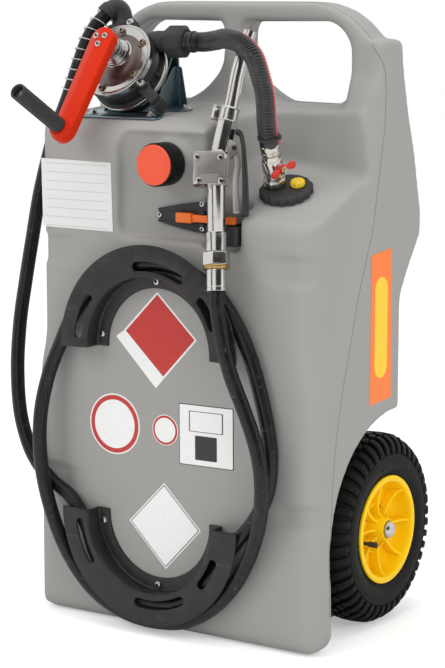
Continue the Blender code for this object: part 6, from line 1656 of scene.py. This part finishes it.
class CADDY_OT_stage(bpy.types.Operator):
    """Set the floor, the backdrop, the lights and the camera"""
    bl_idname = "caddy.stage"
    bl_label = "Stage"

    def execute(self, context):
        cam = bpy.data.cameras.new("camera")
        cam.sensor_fit = 'AUTO'
        cam.sensor_width = 36.0
        cam.lens = CAMERA_LENS
        eye = link("camera", cam)
        eye.location = CAMERA_PLACE
        aim = Vector(CAMERA_AIM) - Vector(eye.location)
        eye.rotation_euler = aim.to_track_quat("-Z", 'Y').to_euler()
        bpy.context.scene.camera = eye
        floor = from_lists("floor", [(-9, -9, 0), (9, -9, 0), (9, 9, 0), (-9, 9, 0)],
            [(0, 1, 2, 3)])
        floor.data.materials.append(pale_floor())
        for name, azimuth, away, half in (("card_right", -34, 4.6, 3.0), ("card_left", -112, 3.0,
                0.45)):
            card = from_lists(name, [(-half, 0, 0.1), (half, 0, 0.1), (half, 0, 4.8), (-half, 0,
                4.8)], [(0, 1, 2, 3)])
            bearing = radians(azimuth)
            move(card, shift(away * cos(bearing), away * sin(bearing), 0) @ spun(bearing - pi / 2))
            card.data.materials.append(dark_card())
            card.visible_camera = card.visible_diffuse = card.visible_shadow = False
        world = bpy.data.worlds.new("studio")
        bpy.context.scene.world = world
        world.use_nodes = True
        tree = world.node_tree
        back = tree.nodes["Background"]
        rays = node(tree, "ShaderNodeLightPath")
        seen = node(tree, "ShaderNodeMath", {0: rays.outputs["Is Camera Ray"],
            1: rays.outputs["Is Transmission Ray"]}, operation='MAXIMUM')
        seen = node(tree, "ShaderNodeMath", {0: seen.outputs[0], 1: rays.outputs["Is Glossy Ray"]},
            operation='MAXIMUM')
        place = node(tree, "ShaderNodeTexCoord").outputs["Generated"]
        split = node(tree, "ShaderNodeSeparateXYZ", {"Vector": place})
        up = ramp(tree, split.outputs['Z'], -0.3, 0.9, 0.4, 0.86)
        side = ramp(tree, split.outputs['X'], -1.0, 1.0, 0.9, 0.95)
        level = maths(tree, 'MULTIPLY', up, side)
        strength = node(tree, "ShaderNodeMix", {0: seen.outputs[0]}, data_type='FLOAT')
        tree.links.new(level, strength.inputs[2])
        strength.inputs[3].default_value = 1.0
        tree.links.new(strength.outputs[0], back.inputs["Strength"])
        back.inputs["Color"].default_value = (1, 1, 1, 1)
        for name, place, size, power in (("key", (-1.8, -3.2, 2.8), 2.0, 50.0), ("fill", (3.4, -1.4,
                1.8), 2.4, 45.0), ("top", (0.2, -0.2, 3.4), 1.8, 30.0)):
            lamp = bpy.data.lights.new(name, 'AREA')
            lamp.size = size
            lamp.energy = power
            item = link(name, lamp)
            item.visible_glossy = False
            item.location = place
            item.rotation_euler = (Vector((0, 0, 0.5)) - Vector(place)).to_track_quat("-Z",
                'Y').to_euler()
        view = bpy.context.scene.view_settings
        view.view_transform = "Standard"
        return {'FINISHED'}


OPERATORS = [CADDY_OT_stage, CADDY_OT_tank, CADDY_OT_pump, CADDY_OT_elbow, CADDY_OT_crank,
    CADDY_OT_bracket, CADDY_OT_suction, CADDY_OT_valve, CADDY_OT_filler, CADDY_OT_nozzle,
    CADDY_OT_holder, CADDY_OT_hose, CADDY_OT_brackets, CADDY_OT_wheels, CADDY_OT_plates]


class CADDY_PT_panel(bpy.types.Panel):
    """Lists the builders of the caddy's pieces"""
    bl_idname = "CADDY_PT_panel"
    bl_label = "Fuel Caddy"
    bl_space_type = 'VIEW_3D'
    bl_region_type = 'UI'
    bl_category = "Caddy"

    def draw(self, context):
        sizes = context.scene.caddy_sizes
        for name in ("tank_colour", "voxel", "tread_blocks"):
            self.layout.prop(sizes, name)
        for operator in OPERATORS:
            self.layout.operator(operator.bl_idname)


CLASSES = [SizesOfCaddy] + OPERATORS + [CADDY_PT_panel]


def register():
    for item in CLASSES:
        bpy.utils.register_class(item)
    bpy.types.Scene.caddy_sizes = PointerProperty(type=SizesOfCaddy)


def unregister():
    del bpy.types.Scene.caddy_sizes
    for item in reversed(CLASSES):
        bpy.utils.unregister_class(item)


def main():
    register()
    for operator in OPERATORS:
        group, name = operator.bl_idname.split(".")
        getattr(getattr(bpy.ops, group), name)()
    dress_solids()


if __name__ == "__main__":
    main()
